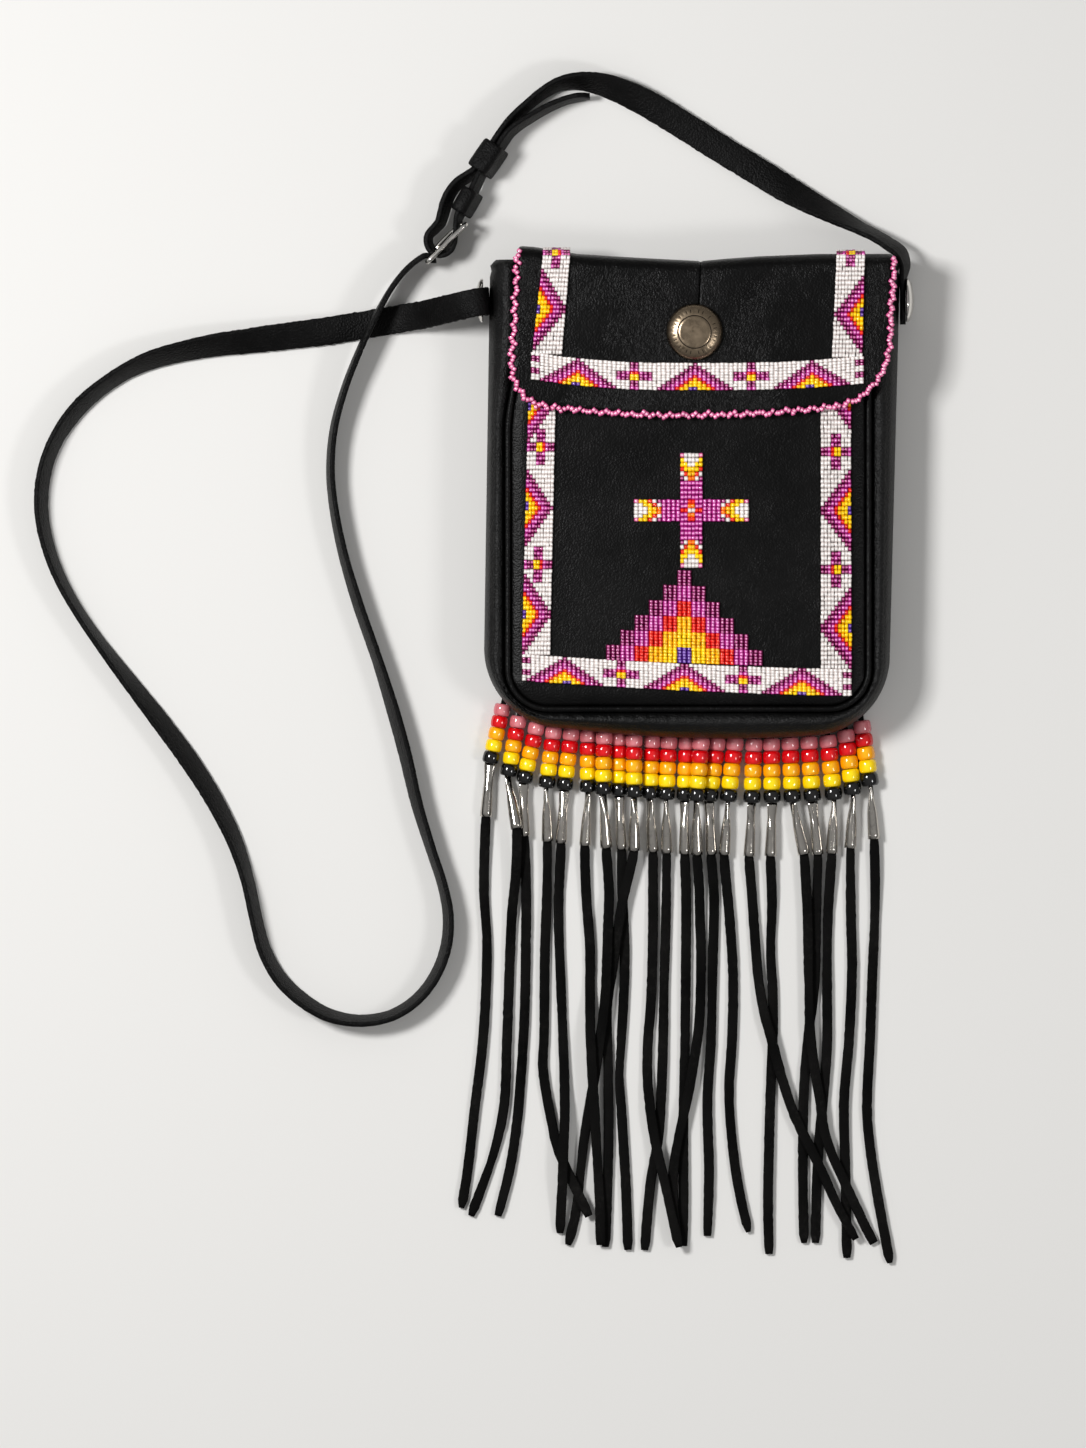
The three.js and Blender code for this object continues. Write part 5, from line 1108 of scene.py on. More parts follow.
# Back panel: level beside the flap, with small rounded top corners
BACK_TOP_Y = 0.1205
BACK_SHARE = 0.88
BACK_LINES = 40
BACK_STEP = 0.0030
BACK_STEP_X = (0.082, 0.0895)
BACK_CORNER = 0.003
BACK_CORNER_X = 0.0986
back_outline = between_outlines(SEAM_OUTLINE, BODY_OUTLINE, BACK_SHARE)
back_x, back_y, back_edge = panel_lines(back_outline, BACK_TOP_Y, BACK_LINES, BACK_LINES)
from_seam = np.abs(back_x - FOLD_SEAM_X)
near_side = np.clip((from_seam - BACK_CORNER_X) / BACK_CORNER, 0, 1)
beside_flap = BACK_STEP * eased(from_seam, *BACK_STEP_X) + BACK_CORNER * (1 - np.sqrt(1 - near_side**2))
back_y = back_y - (np.maximum(fold_dip(back_x), 0) + beside_flap) * eased(back_y, DIP_FROM_Y, BACK_TOP_Y)
back_middle = np.stack([back_x, back_y, np.full(back_x.shape, LEATHER / 2)], axis=-1)
bag_back = sheet_piece("bag_back", back_middle, LEATHER / 2 * edge_round(back_edge), [body_leather])
dress(bag_back, "bag", "black_leather", "back_panel")

# Gusset: a puffed band from the front seam over its crest to the back, drawn in at its two ends
GUSSET_SECTION = [(0.0, 0.032), (0.12, 0.0336), (0.3, 0.0346), (0.5, 0.0342), (0.75, 0.0308), (0.93, 0.0245),
                  (1.0, 0.017), (0.97, 0.0095), (0.86, 0.0036), (0.8, 0.0025)]
GUSSET_STEPS = dict(side_steps=70, corner_steps=30, bottom_steps=120)
SECTION_SCALE = 100
SECTION_SPACING = 0.05
GUSSET_END_ROUND = 0.004
GUSSET_END_WIDTH = 0.80
GUSSET_END_HEIGHT = 0.90
END_CREASE_AT = 0.0058
END_CREASE_WIDTH = 0.0009
END_CREASE_SHARES = (0.06, 0.02)
LOW_PUCKER_RUN = (0.10, 0.19)
PUCKER_HEIGHT = 0.0004
PUCKER_FINE = 0.6
SLACK_SHARE = 0.03
FRONT_HALF_Z = 0.02
SEAM_PUCKER = (0.16, 0.22)
CREST_DENT = (0.62, 0.10)
CREST_DEPTH = 0.0004
body_line = outline_line(BODY_OUTLINE, **GUSSET_STEPS)
seam_line = outline_line(SEAM_OUTLINE, **GUSSET_STEPS)
seam_line[:, 0] += seam_lean(seam_line[:, 0], seam_line[:, 1])
section_line = smooth_route([(share, z * SECTION_SCALE, 0) for share, z in GUSSET_SECTION], SECTION_SPACING)
section_share = section_line[:, 0]
section_z = section_line[:, 1] / SECTION_SCALE
line_runs = run_lengths(body_line)
to_end = np.minimum(line_runs, line_runs[-1] - line_runs)
puff_end = rounded(to_end / GUSSET_END_ROUND)[:, None]
round_low = eased(to_end, *LOW_PUCKER_RUN)[:, None]
end_crease = bell(to_end, END_CREASE_AT, END_CREASE_WIDTH)[:, None]
pucker = np.array([wander(run, 0, scale=260, seed=4.0) for run in line_runs])[:, None]
fine_pucker = np.array([wander(run, 2, scale=520, seed=9.0) for run in line_runs])[:, None]
pucker = pucker + PUCKER_FINE * fine_pucker
slack = np.array([wander(run, 5, scale=60, seed=14.0) for run in line_runs])[:, None]
on_front = (section_z > FRONT_HALF_Z)[None]
near_seam = bell(section_share, *SEAM_PUCKER)[None] * on_front
near_crest = bell(section_share, *CREST_DENT)[None] * on_front
share_grid = section_share[None] * mixed(GUSSET_END_WIDTH, 1.0, puff_end)
share_grid = share_grid + SLACK_SHARE * slack * np.sin(math.pi * section_share)[None]
share_grid = share_grid * (1 - END_CREASE_SHARES[0] * end_crease)
z_grid = (section_z[None] - LEATHER) * mixed(GUSSET_END_HEIGHT, 1.0, puff_end)
z_grid = LEATHER + z_grid * (1 - END_CREASE_SHARES[1] * end_crease)
z_grid = z_grid + (PUCKER_HEIGHT + PUCKER_HEIGHT * round_low) * pucker * near_seam
z_grid = z_grid - CREST_DEPTH * near_crest * (1 + PUCKER_FINE * pucker)
gusset_x = mixed(seam_line[:, :1], body_line[:, :1], share_grid)
gusset_y = mixed(seam_line[:, 1:], body_line[:, 1:], share_grid)
gusset_outer = np.stack([gusset_x, gusset_y, z_grid], axis=-1)
gusset_middle = gusset_outer - grid_normals(gusset_outer) * LEATHER / 2
bag_gusset = sheet_piece("bag_gusset", gusset_middle, LEATHER / 2, [gusset_hide])
dress(bag_gusset, "bag", "black_leather", "gusset")

# Front panel, rolled off towards its seam below the flap
FRONT_LINES = 90
ROLL_OFF = 0.0011
ROLL_OFF_WIDTH = 0.006
ROLL_OFF_TOP_Y = 0.085
front_x, front_y, front_edge = panel_lines(FRONT_OUTLINE, FRONT_TOP_Y, FRONT_LINES, FRONT_LINES)
roll_off = ROLL_OFF * (1 - eased(front_edge, 0.0, ROLL_OFF_WIDTH)) * (front_y < ROLL_OFF_TOP_Y)
front_z = FRONT_Z - LEATHER / 2 + front_rise(front_x, front_y) - roll_off
front_middle = np.stack([front_x + seam_lean(front_x, front_y), front_y, front_z], axis=-1)
bag_front = sheet_piece("bag_front", front_middle, LEATHER / 2 * edge_round(front_edge), [body_leather])
dress(bag_front, "bag", "black_leather", "front_panel")

# Piping in the front seam
PIPING_RADIUS = 0.0015
PIPING_UNEVEN = 0.10
PIPING_Z = 0.0349
PIPING_SIDES = 10
piping_outline = grown_outline(FRONT_OUTLINE, GAP + PIPING_RADIUS)
piping_line = outline_line(piping_outline, side_steps=120, corner_steps=40, bottom_steps=160)
piping_line[:, 0] += seam_lean(piping_line[:, 0], piping_line[:, 1])
piping_places = np.column_stack([piping_line, np.full(len(piping_line), PIPING_Z)])
piping_swell = np.array([wander(x, y, scale=320, seed=6.0) for x, y in piping_line])
piping_radius = PIPING_RADIUS * (1 + PIPING_UNEVEN * piping_swell)
piping_points = wire_points(piping_places, piping_radius, PIPING_SIDES, UP, False)
piping_faces = ring_faces(len(piping_line), PIPING_SIDES)
bag_piping = make_piece("bag_piping", piping_points, piping_faces, [body_leather])
dress(bag_piping, "bag", "black_leather", "front_piping")

# Flap: one sheet from the back over the fold to the rounded lower edge
FOLD_LINE = [(0.1189, 0.0026), (0.1203, 0.009), (0.1213, 0.018), (0.1214, 0.026), (0.1211, 0.033),
             (0.1199, 0.0371), (0.1176, 0.0391), (0.1145, 0.0395), (0.112, 0.0395)]
FOLD_SPACING = 0.0012
FLAP_LINES = (110, 56)
SEAM_GROOVE = 0.0013
SEAM_HALF = 0.0006
SEAM_DARK = 0.0005
SEAM_LOW_Y = 0.088
SEAM_FADE = 0.004
SEAM_FADE_Z = (0.012, 0.030)
SEAM_DARK_Z = 0.028
SEAM_COLUMNS = np.array((0, 0.0003, 0.0006, 0.0009, 0.0014, 0.0022))
SEAM_CLEAR = SEAM_COLUMNS[-1] + 0.0003


# The flap lies a little askew: its lower edge sits further left than its fold
FLAP_SHIFT = 0.0012
FLAP_SKEW = 0.05
FLAP_SKEW_FROM_Y = 0.03
FLAP_SKEW_Y = 0.085


def flap_shift(y):
    return FLAP_SHIFT + FLAP_SKEW * (np.clip(y, FLAP_SKEW_FROM_Y, HINGE_Y) - FLAP_SKEW_Y)


# The flap's face stands slightly proud, with slow waves that end below the fold
FLAP_PROUD = 0.0003
FLAP_WAVES = 0.0004
FLAP_WAVES_Y = (0.095, 0.112)


def flap_rise(x, y):
    return (FLAP_PROUD + FLAP_WAVES * wander_over(x, y, scale=26, seed=21.0)) * (1 - eased(y, *FLAP_WAVES_Y))


fold = smooth_route([(0, y, z) for y, z in FOLD_LINE], FOLD_SPACING)
flap_width = FLAP_RIGHT - FLAP_LEFT
flap_columns = mixed(FLAP_LEFT, FLAP_RIGHT, spread_shares(FLAP_LINES[0], flap_width))
flap_columns = flap_columns[np.abs(flap_columns - FOLD_SEAM_X) > SEAM_CLEAR]
flap_columns = [flap_columns, FOLD_SEAM_X + SEAM_COLUMNS, FOLD_SEAM_X - SEAM_COLUMNS[1:]]
flap_columns = np.sort(np.concatenate(flap_columns))
flap_shares = (flap_columns - FLAP_LEFT) / flap_width
flap_low = np.array([bottom_at(FLAP_OUTLINE, x) for x in flap_columns])
drop_share = spread_shares(FLAP_LINES[1], fold[-1, 1] - flap_low.min())[len(EDGE_INSETS):, None]
flat_y = mixed(fold[-1, 1], flap_low[None], drop_share)
flap_y = np.vstack([np.repeat(fold[:, 1:2], len(flap_columns), axis=1), flat_y])
flap_z = np.vstack([np.repeat(fold[:, 2:3], len(flap_columns), axis=1), np.full(flat_y.shape, FLAP_MID_Z)])
flap_x = np.broadcast_to(flap_columns, flap_y.shape)
flat_row = (np.arange(len(flap_y)) >= len(fold))[:, None]
flap_edge = np.minimum(np.minimum(flap_shares, 1 - flap_shares) * flap_width, flap_y - flap_low)
flap_z = flap_z + flap_rise(flap_x, flap_y) * flat_row
sunk = np.where(flat_row, eased(flap_y, DIP_FROM_Y, fold[-1, 1]), 1)
groove = SEAM_GROOVE * bell(flap_x, FOLD_SEAM_X, SEAM_HALF)
groove = groove * eased(flap_y, SEAM_LOW_Y, SEAM_LOW_Y + SEAM_FADE)
flap_z = flap_z - groove * eased(flap_z, *SEAM_FADE_Z)
flap_y = flap_y - fold_dip(flap_x) * sunk - groove * ~flat_row
flap_middle = np.stack([flap_x + flap_shift(flap_y), flap_y, flap_z], axis=-1)
flap_leather = sheet_piece("flap_leather", flap_middle, LEATHER / 2 * edge_round(flap_edge), [flap_hide])
# Faces along the seam groove on the fold take the near-black material: painted shade in the groove
flap_leather.data.materials.append(seam_painted_shade)
for face in flap_leather.data.polygons:
    spot = face.center
    on_seam = abs(spot.x - flap_shift(spot.y) - FOLD_SEAM_X) < SEAM_DARK and spot.y > SEAM_LOW_Y
    face.material_index = 1 if on_seam and spot.z > SEAM_DARK_Z else 0
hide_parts("flap", "top_panel")
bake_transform(flap_leather)

# Seed beads: small rings, each laid with its hole along the thread
SEED_AROUND = 8
SEED_PROFILE = [(0.42, -0.42), (0.86, -0.5), (1.0, -0.3), (1.0, 0.3), (0.86, 0.5), (0.42, 0.42)]
SEED_LAY = 0.00006
SEED_TURN = 0.09
SEED_UNEVEN = 0.035
SEED_SWELL = 1.06
seed_turns = (np.arange(SEED_AROUND) + 0.5) * 2 * math.pi / SEED_AROUND
seed_side = SEED_SWELL * np.cos(seed_turns)
seed_rise = SEED_SWELL * np.sin(seed_turns)


# Beads sewn across the fold stay where they are laid along it, and the others ride on their panel
def seed_piece(name, beads, seed, body, slot, *nodes, size=(1, 1)):
    chance = np.random.default_rng(seed)
    centres = np.array([bead[0] for bead in beads])
    axes = np.array([bead[1] for bead in beads], float)
    ups = np.array([bead[2] for bead in beads], float)
    colours = [SEED_NAMES.index(bead[3]) for bead in beads]
    centres = centres + chance.normal(0, SEED_LAY, centres.shape)
    axes = unit_rows(unit_rows(axes) + chance.normal(0, SEED_TURN, axes.shape))
    sides = unit_rows(np.cross(axes, ups))
    ups = np.cross(sides, axes)
    sizes = chance.normal(1, SEED_UNEVEN, (len(beads), 2)) * size
    circle = sides[:, None] * seed_side[None, :, None] + ups[:, None] * seed_rise[None, :, None]
    rings = []
    for radius, reach in SEED_PROFILE:
        ring = circle * (radius * SEED_RADIUS * sizes[:, :1])[..., None]
        rings.append(centres[:, None] + ring + (axes * reach * SEED_LENGTH * sizes[:, 1:])[:, None])
    points = np.stack(rings, axis=1).reshape(-1, 3)
    faces = bead_faces(len(SEED_PROFILE), SEED_AROUND, len(beads))
    slots = np.repeat(colours, len(SEED_PROFILE) * SEED_AROUND).tolist()
    piece = make_piece(name, points, faces, seed_glass, slots)
    if body != "fold":
        return dress(piece, body, slot, *nodes)
    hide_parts(*nodes)
    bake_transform(piece)
    return piece


# Pattern of the strips: stepped half diamonds and small crosses on a white ground
DIAMOND_DEPTH = 8.7
DIAMOND_BANDS = ((2, "plum"), (4, "lilac"), (5, "red"), (6, "gold"), (7.7, "yellow"))
STRIP_MIDDLE_BEAD = 4
SMALL_CROSS_HALF = 1.05
SMALL_CROSS_REACH = 4.05
SMALL_CROSS_CHECK = 3
END_CHECK = 2


def first_band(depth, bands, last):
    for limit, colour in bands:
        if depth < limit:
            return colour
    return last


def half_diamond(row, bead):
    depth = DIAMOND_DEPTH - abs(row) - bead
    return None if depth < 0 else first_band(depth, DIAMOND_BANDS, "violet")


def small_cross(row, bead):
    along = abs(row)
    aside = abs(bead - STRIP_MIDDLE_BEAD)
    checked = "lilac" if (int(along) + bead) % SMALL_CROSS_CHECK == 0 else "plum"
    if along < SMALL_CROSS_HALF:
        if aside > 1:
            return checked
        return "yellow" if bead <= STRIP_MIDDLE_BEAD else "red"
    if along < SMALL_CROSS_REACH and aside <= 1:
        return checked
    return None


def strip_colour(place, bead, diamonds, crosses):
    for motif, spots in ((small_cross, crosses), (half_diamond, diamonds)):
        for spot in spots:
            colour = motif((place - spot) / ROW_PITCH, bead)
            if colour:
                return colour
    return "white"


# One row across an upright strip, with bead 0 at the strip's outer edge
def row_across(left, right, outer_left):
    for step in range(BEADS_ACROSS):
        bead = step if outer_left else BEADS_ACROSS - 1 - step
        yield mixed(left, right, (step + 0.5) / BEADS_ACROSS), bead


# An upright strip: rows laid up its length
def side_strip(low, top, low_y, top_y, outer_left, face, diamonds, crosses):
    rows = int(round((top_y - low_y) / ROW_PITCH))
    beads = []
    for row in range(rows):
        share = (row + 0.5) / rows
        y = mixed(low_y, top_y, share)
        left = mixed(low[0], top[0], share)
        right = mixed(low[1], top[1], share)
        for x, bead in row_across(left, right, outer_left):
            colour = strip_colour(y, bead, diamonds, crosses)
            beads.append(((x, y, face(x, y) + SEED_SUNK), (1, 0, 0), UP, colour))
    return beads


# A level strip: columns laid along it, bead 0 at the lower edge, with checked ends
def level_strip(span, lower, height, face, diamonds, crosses):
    columns = int(round((span[1] - span[0]) / ROW_PITCH))
    beads = []
    for column in range(columns):
        x = mixed(span[0], span[1], (column + 0.5) / columns)
        for bead in range(BEADS_ACROSS):
            y = lower(x) + height * (bead + 0.5) / BEADS_ACROSS
            colour = strip_colour(x, bead, diamonds, crosses)
            if min(column, columns - 1 - column) < END_CHECK and (bead // END_CHECK) % 2 == 1:
                colour = "plum"
            beads.append(((x, y, face(x, y) + SEED_SUNK), (0, 1, 0), UP, colour))
    return beads


def front_face(x, y):
    return FRONT_Z + float(front_rise(np.array(x), np.array(y)))


def flap_face(x, y):
    return FLAP_FACE_Z + float(flap_rise(np.array(x), np.array(y)))


# Lower edges of the level strips: the flap's rises at both ends, the body's leans and bows a little
FLAP_STRIP_HEIGHT = 0.0135
FLAP_STRIP_LOW_Y = 0.052
FLAP_STRIP_MIDDLE = 0.002
FLAP_STRIP_FLAT = 0.015
FLAP_STRIP_BEND = 0.068
FLAP_STRIP_RISES = (0.0055, 0.0034)
BODY_STRIP_HEIGHT = 0.0132
BODY_STRIP_LOW_Y = -0.0978
BODY_STRIP_MIDDLE = -0.00325
BODY_STRIP_HALF = 0.08225
BODY_STRIP_LEAN = 0.00385
BODY_STRIP_BOW = 0.00115
BODY_STRIP_TOP_Y = 0.080


def flap_strip_lower(x):
    aside = x - FLAP_STRIP_MIDDLE
    rise = FLAP_STRIP_RISES[0] if aside < 0 else FLAP_STRIP_RISES[1]
    return FLAP_STRIP_LOW_Y + rise * (max(0, abs(aside) - FLAP_STRIP_FLAT) / FLAP_STRIP_BEND) ** 2


def body_strip_lower(x):
    side = (x - BODY_STRIP_MIDDLE) / BODY_STRIP_HALF
    return BODY_STRIP_LOW_Y - BODY_STRIP_LEAN * side + BODY_STRIP_BOW * side**2


flap_bottom_list = level_strip(span=(-0.081, 0.085), lower=flap_strip_lower, height=FLAP_STRIP_HEIGHT,
                               face=flap_face, diamonds=(-0.058, 0.0005, 0.059), crosses=(-0.0285, 0.0295))
body_bottom_list = level_strip(span=(-0.0855, 0.079), lower=body_strip_lower, height=BODY_STRIP_HEIGHT,
                               face=front_face, diamonds=(-0.0635, -0.004, 0.0545), crosses=(-0.0355, 0.0245))
body_left_list = side_strip(low=(-0.0855, -0.0715), top=(-0.0815, -0.068),
                            low_y=body_strip_lower(-0.0785) + BODY_STRIP_HEIGHT, top_y=BODY_STRIP_TOP_Y,
                            outer_left=True, face=front_face,
                            diamonds=(0.045, -0.0065, -0.060), crosses=(0.0235, -0.0355))
body_right_list = side_strip(low=(0.0635, 0.079), top=(0.0635, 0.0785),
                             low_y=body_strip_lower(0.071) + BODY_STRIP_HEIGHT, top_y=BODY_STRIP_TOP_Y,
                             outer_left=False, face=front_face,
                             diamonds=(0.052, -0.008, -0.0665), crosses=(0.0216, -0.038))
seed_piece("flap_beads_bottom", flap_bottom_list, 51, "flap_leaf", "white_beads", "flap_strip_bottom")
seed_piece("body_beads_bottom", body_bottom_list, 52, "bag", "white_beads", "body_strip_bottom")
seed_piece("body_beads_left", body_left_list, 53, "bag", "white_beads", "body_strip_left")
seed_piece("body_beads_right", body_right_list, 54, "bag", "white_beads", "body_strip_right")

# The flap's upright strips run up the face and a little way over the fold
FOLD_ROWS_TO = 0.0262
FLAT_STEPS = 40
FLAP_WAVES_END_Y = 0.111
fold_bend = fold[::-1][fold[::-1, 2] > FOLD_ROWS_TO]


def fold_strip(low, top, low_y, outer_left, diamonds, crosses):
    flat_top = fold_bend[0, 1]
    flat_places = np.linspace(low_y, flat_top, FLAT_STEPS, endpoint=False)
    dips = fold_dip((top[0] + top[1]) / 2)
    line = [(y - dips * float(eased(y, DIP_FROM_Y, flat_top)), FLAP_MID_Z) for y in flat_places]
    line += [(y - dips, z) for _, y, z in fold_bend]
    line = np.array(line)
    ahead = unit_rows(np.gradient(line, axis=0))
    line = line + np.stack([-ahead[:, 1], ahead[:, 0]], axis=1) * (LEATHER / 2 + SEED_SUNK)
    runs = run_lengths(line)
    rows = int(round(runs[-1] / ROW_PITCH))
    beads = []
    for row in range(rows):
        run = (row + 0.5) * runs[-1] / rows
        y, z = [np.interp(run, runs, line[:, k]) for k in (0, 1)]
        ahead_y, ahead_z = [np.interp(run, runs, ahead[:, k]) for k in (0, 1)]
        up = np.array((0, -ahead_z, ahead_y))
        share = min(1, (y - low_y) / (HINGE_Y - low_y))
        left = mixed(low[0], top[0], share)
        right = mixed(low[1], top[1], share)
        for x, bead in row_across(left, right, outer_left):
            place = np.array((x, y, z))
            if y < FLAP_WAVES_END_Y:
                place[2] += float(flap_rise(np.array(x), np.array(y)))
            beads.append((place, (1, 0, 0), up, strip_colour(low_y + run, bead, diamonds, crosses)))
    return beads


flap_left_list = fold_strip(low=(-0.0805, -0.0655), top=(-0.075, -0.0615),
                            low_y=flap_strip_lower(-0.073) + FLAP_STRIP_HEIGHT, outer_left=True,
                            diamonds=(0.0925,), crosses=(0.1215,))
flap_right_list = fold_strip(low=(0.069, 0.0842), top=(0.0714, 0.0855),
                             low_y=flap_strip_lower(0.0775) + FLAP_STRIP_HEIGHT, outer_left=False,
                             diamonds=(0.090,), crosses=(0.1215,))
seed_piece("flap_beads_left", flap_left_list, 55, "fold", "white_beads", "flap_strip_left")
seed_piece("flap_beads_right", flap_right_list, 56, "fold", "white_beads", "flap_strip_right")

# Large cross: four arms of rows about a square middle
CROSS_AT = (-0.001, -0.008)
CROSS_HALF_ARM = 0.0055
CROSS_HALF_SPAN = 0.0287
CROSS_ROWS = 10
CROSS_PLAIN_ROWS = 4
CROSS_SIDES = (-2.5, -1.5, -0.5, 0.5, 1.5, 2.5)
CROSS_POINT_SLOPE = 0.75
CROSS_BANDS = ((2.5, "plum"), (3.3, "white"), (3.8, "orange"), (4.3, "red"), (4.8, "gold"), (6.2, "yellow"))
MIDDLE_ROWS = 5


def cross_colour(row, side):
    if row < CROSS_PLAIN_ROWS:
        return "lilac"
    if row == CROSS_ROWS - 1 and abs(side) > 2:
        return "pink"
    return first_band(row - CROSS_POINT_SLOPE * abs(side), CROSS_BANDS, "white")


def middle_colour(row, side):
    if row == 0 and abs(side) < 1:
        return "white"
    if abs(side) < 1:
        return "orange" if abs(row) == 1 else "red"
    return "red" if row == 0 else "lilac"


# A bead sewn on the front, with its hole along the given way
def front_bead(x, y, way, colour):
    return (x, y, front_face(x, y) + SEED_SUNK), way, UP, colour


cross_list = []
bead_step = 2 * CROSS_HALF_ARM / len(CROSS_SIDES)
arm_step = (CROSS_HALF_SPAN - CROSS_HALF_ARM) / CROSS_ROWS
for way_x, way_y in ((1, 0), (0, 1), (-1, 0), (0, -1)):
    for row in range(CROSS_ROWS):
        reach = CROSS_HALF_ARM + (row + 0.5) * arm_step
        for side in CROSS_SIDES:
            x = CROSS_AT[0] + way_x * reach - way_y * side * bead_step
            y = CROSS_AT[1] + way_y * reach + way_x * side * bead_step
            cross_list.append(front_bead(x, y, (-way_y, way_x, 0), cross_colour(row, side)))
for row in range(-(MIDDLE_ROWS // 2), MIDDLE_ROWS // 2 + 1):
    for side in CROSS_SIDES:
        x = CROSS_AT[0] + side * bead_step
        y = CROSS_AT[1] + row * 2 * CROSS_HALF_ARM / MIDDLE_ROWS
        cross_list.append(front_bead(x, y, (1, 0, 0), middle_colour(row, side)))
seed_piece("cross_beads", cross_list, 57, "bag", "orchid_beads", "beaded_cross", size=(1, 1.16))

# Stepped hill: blocks of three columns, coloured in nested steps
HILL_AT = (-0.0045, -0.0841)
HILL_TILT = -0.036
HILL_LEVELS = 6
HILL_LEVEL_HEIGHT = 0.00772
HILL_STEP_WIDTH = 0.0071
HILL_COLUMNS = 3
HILL_BEADS = 5
HILL_COLOURS = ("plum", "lilac", "red", "gold", "yellow", "violet")
hill_list = []
for level in range(HILL_LEVELS):
    reach = HILL_LEVELS - 1 - level
    for block in range(-reach, reach + 1):
        for column in range(HILL_COLUMNS):
            for bead in range(HILL_BEADS):
                side = (block + (column - 1) / HILL_COLUMNS) * HILL_STEP_WIDTH
                y = HILL_AT[1] + (level + (bead + 0.5) / HILL_BEADS) * HILL_LEVEL_HEIGHT + HILL_TILT * side
                x = HILL_AT[0] + side
                hill_list.append(front_bead(x, y, (0, 1, 0), HILL_COLOURS[reach - abs(block)]))
seed_piece("hill_beads", hill_list, 58, "bag", "red_beads", "beaded_hill")

# Pink edging: beads sewn over the flap's free edge in fours, stepping out and back
EDGING_PITCH = 0.0016
EDGING_OUT = 0.0006
EDGING_STEPS = (-0.0008, 0.0, 0.0008, 0.0002)
EDGING_SLANTS = (0.7, 0.9, -0.4, -0.9)
EDGING_TOP_Y = 0.1214
EDGING_RUN_UNEVEN = 0.00022
EDGING_STEP_UNEVEN = 0.0003
EDGING_LOOK_AHEAD = 0.001
EDGING_RAISED = 0.0004
EDGING_INNER_RISE = 0.0007
EDGING_OUTER_DROP = 0.0004
EDGING_FULL_STEP = 0.001
EDGING_FOLD_Z = 0.031
edging_outline = dict(grown_outline(FLAP_OUTLINE, EDGING_OUT), top=EDGING_TOP_Y)
edging_line = outline_line(edging_outline, side_steps=60, corner_steps=30, bottom_steps=120)
edging_runs = run_lengths(edging_line)
edging_chance = np.random.default_rng(77)
edging_fold = fold[::-1][fold[::-1, 2] > EDGING_FOLD_Z]


def edging_place(run):
    return np.array([np.interp(run, edging_runs, edging_line[:, k]) for k in (0, 1)])


edging_list = []
for number, run in enumerate(np.arange(EDGING_PITCH, edging_runs[-1] - EDGING_PITCH, EDGING_PITCH)):
    run = run + edging_chance.normal(0, EDGING_RUN_UNEVEN)
    place = edging_place(run)
    ahead = np.append(unit(edging_place(run + EDGING_LOOK_AHEAD) - place), 0)
    outward = np.cross(ahead, UP)
    step = EDGING_STEPS[number % len(EDGING_STEPS)] + edging_chance.normal(0, EDGING_STEP_UNEVEN)
    y = place[1] - fold_dip(place[0]) * float(eased(place[1], DIP_FROM_Y, fold[-1, 1]))
    bend = FLAP_MID_Z - np.interp(place[1], edging_fold[:, 1], edging_fold[:, 2])
    centre = np.array((place[0] + flap_shift(place[1]), y, FLAP_FACE_Z + EDGING_RAISED - bend))
    centre = centre + outward * step
    centre[2] += EDGING_INNER_RISE * float(eased(-step, 0, EDGING_FULL_STEP))
    centre[2] -= EDGING_OUTER_DROP * float(eased(step, 0, EDGING_FULL_STEP))
    slant = EDGING_SLANTS[number % len(EDGING_SLANTS)]
    edging_list.append((centre, ahead + outward * slant, UP, "pink"))
seed_piece("flap_edging", edging_list, 59, "fold", "pink_beads", "flap_edge_beading", size=(1.12, 1.16))

# Flap button: a flat disc inside a grooved ring, then a sloping band with plain notches and a rounded rim;
# groove and notches are painted near-black as shade
BUTTON_AT = (0.0006, 0.0809)
BUTTON_RADIUS = 0.0141
BUTTON_BASE = 0.0409
MILLIMETRES = 1000
BUTTON_PROFILE = [(0.02, 5.4), (0.3, 5.38), (0.48, 5.34), (0.565, 5.3), (0.575, 5.18), (0.59, 5.18),
                  (0.6, 5.22), (0.64, 5.08), (0.68, 4.92), (0.72, 4.74), (0.76, 4.52), (0.80, 4.26),
                  (0.84, 3.92), (0.88, 3.5), (0.92, 2.96), (0.955, 2.35), (0.98, 1.7), (1.0, 1.0),
                  (0.995, 0.5), (0.95, 0.1), (0.5, 0.2), (0.02, 0.2)]
BUTTON_SIDES = 180
BUTTON_NOTCHES = 32
BUTTON_NOTCH_DEPTH = 0.00008
BUTTON_NOTCH_DARK = 0.8
BUTTON_GROOVE = (0.567, 0.6)
BUTTON_BAND = (0.68, 0.79)
BUTTON_CUT = (0.68, 0.81)
button_turns = np.arange(BUTTON_SIDES) * 2 * math.pi / BUTTON_SIDES
button_notch = np.maximum(0, np.cos(BUTTON_NOTCHES * button_turns))
button_points = []
for share, height in BUTTON_PROFILE:
    depth = BUTTON_NOTCH_DEPTH * button_notch * (BUTTON_CUT[0] < share < BUTTON_CUT[1])
    button_points.append(np.stack([BUTTON_AT[0] + share * BUTTON_RADIUS * np.cos(button_turns),
                                   BUTTON_AT[1] + share * BUTTON_RADIUS * np.sin(button_turns),
                                   BUTTON_BASE + height / MILLIMETRES - depth], axis=1))
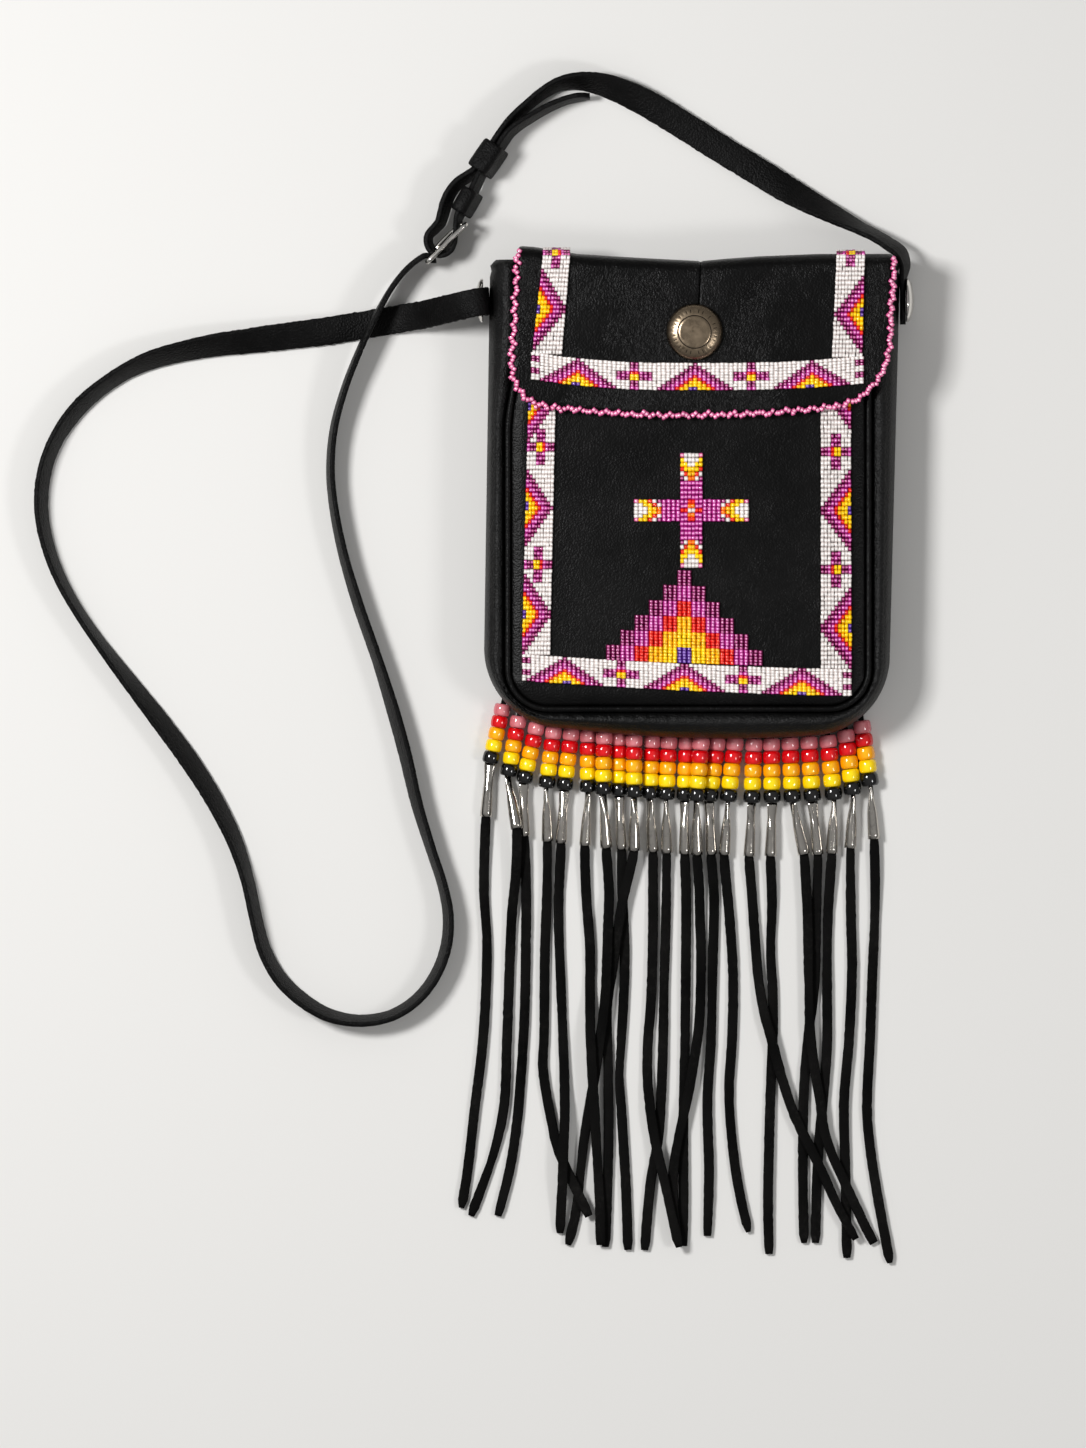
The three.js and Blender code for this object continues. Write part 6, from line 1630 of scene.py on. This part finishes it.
# Faces of the groove ring and of the deepest part of each notch take the near-black metal, painted shade in
# these recesses
button_slots = []
for (share, _), (after, _) in zip(BUTTON_PROFILE[:-1], BUTTON_PROFILE[1:]):
    in_groove = BUTTON_GROOVE[0] < (share + after) / 2 < BUTTON_GROOVE[1]
    in_band = BUTTON_BAND[0] < (share + after) / 2 < BUTTON_BAND[1]
    for notch in 0.5 * (button_notch + np.roll(button_notch, -1)):
        button_slots.append(1 if in_groove or (in_band and notch > BUTTON_NOTCH_DARK) else 0)
button_faces = ring_faces(len(BUTTON_PROFILE), BUTTON_SIDES)
button_slots += [0] * (len(button_faces) - len(button_slots))
button_cap = make_piece("button_cap", np.concatenate(button_points), button_faces, [aged_metal, recess_painted_shade],
                        button_slots)
dress(button_cap, "flap_leaf", "aged_metal", "flap_button")

# Domed buttons that hold the strap ends to the sides
DOME_PROFILE = [(0.001, 0.0072), (0.003, 0.0070), (0.005, 0.0065), (0.007, 0.0057), (0.0088, 0.0046),
                (0.0100, 0.0034), (0.0107, 0.0022), (0.0110, 0.0012), (0.0109, 0.0004), (0.0104, 0.0),
                (0.0010, 0.0002)]
DOME_HEIGHT = 0.004
DOME_SIDES = 48
DOME_Y = 0.097
DOME_Z = 0.0175
DOME_PLACES = (("left", -0.1049, -1), ("right", 0.1063, 1))
dome_profile = [(radius, height * DOME_HEIGHT / DOME_PROFILE[0][1]) for radius, height in DOME_PROFILE]
for side, x, way in DOME_PLACES:
    dome = turned_piece("side_dome_" + side, dome_profile, DOME_SIDES, (x, DOME_Y, DOME_Z), (way, 0, 0),
                        bright_metal)
    dress(dome, "bag", "bright_metal", "strap_button_" + side)

# Inner metal pieces keep their solids
for name in ("button_socket", "press_stud", "rivet_washer_left", "rivet_washer_right"):
    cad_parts[name].data.materials.clear()
    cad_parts[name].data.materials.append(bright_metal)

# Floor and studio light
FLOOR_HALF = 3.0
FLOOR_Z = -0.0002
FLOOR_COLOUR = (0.72, 0.71, 0.69, 1)
LIGHT_AIM = (-0.05, -0.05, 0)
SKY_LEVELS = (0.16, 0.36)
floor_material, _, floor_shader = new_material("pale_floor")
floor_shader.inputs["Base Color"].default_value = FLOOR_COLOUR
floor_shader.inputs["Roughness"].default_value = 0.8
floor_corners = [(x * FLOOR_HALF, y * FLOOR_HALF, 0) for x, y in ((-1, -1), (1, -1), (1, 1), (-1, 1))]
floor = make_piece("pale_floor", floor_corners, [(0, 1, 2, 3)], [floor_material])
floor.location.z = FLOOR_Z


def area_light(name, place, size, power):
    data = bpy.data.lights.new(name, "AREA")
    data.size = size
    data.energy = power
    light = bpy.data.objects.new(name, data)
    light.location = place
    light.rotation_mode = "QUATERNION"
    light.rotation_quaternion = (Vector(LIGHT_AIM) - Vector(place)).to_track_quat("-Z", "Y")
    bpy.context.scene.collection.objects.link(light)


area_light("key_light", place=(-1.05, 0.32, 1.6), size=0.4, power=32)
area_light("fill_light", place=(0.95, -0.42, 1.25), size=0.3, power=5)
studio = bpy.data.worlds.new("studio")
studio.use_nodes = True
sky = studio.node_tree
sky_way = shader_node(sky, "SeparateXYZ")
sky.links.new(shader_node(sky, "TexCoord").outputs["Generated"], sky_way.inputs["Vector"])
sky_level = ranged(sky, sky_way.outputs["Z"], 0.0, 1.0, to_low=SKY_LEVELS[0], to_high=SKY_LEVELS[1])
sky.nodes["Background"].inputs["Color"].default_value = (1, 1, 1, 1)
sky.links.new(sky_level, sky.nodes["Background"].inputs["Strength"])
bpy.context.scene.world = studio
bpy.context.scene.view_settings.view_transform = "Standard"
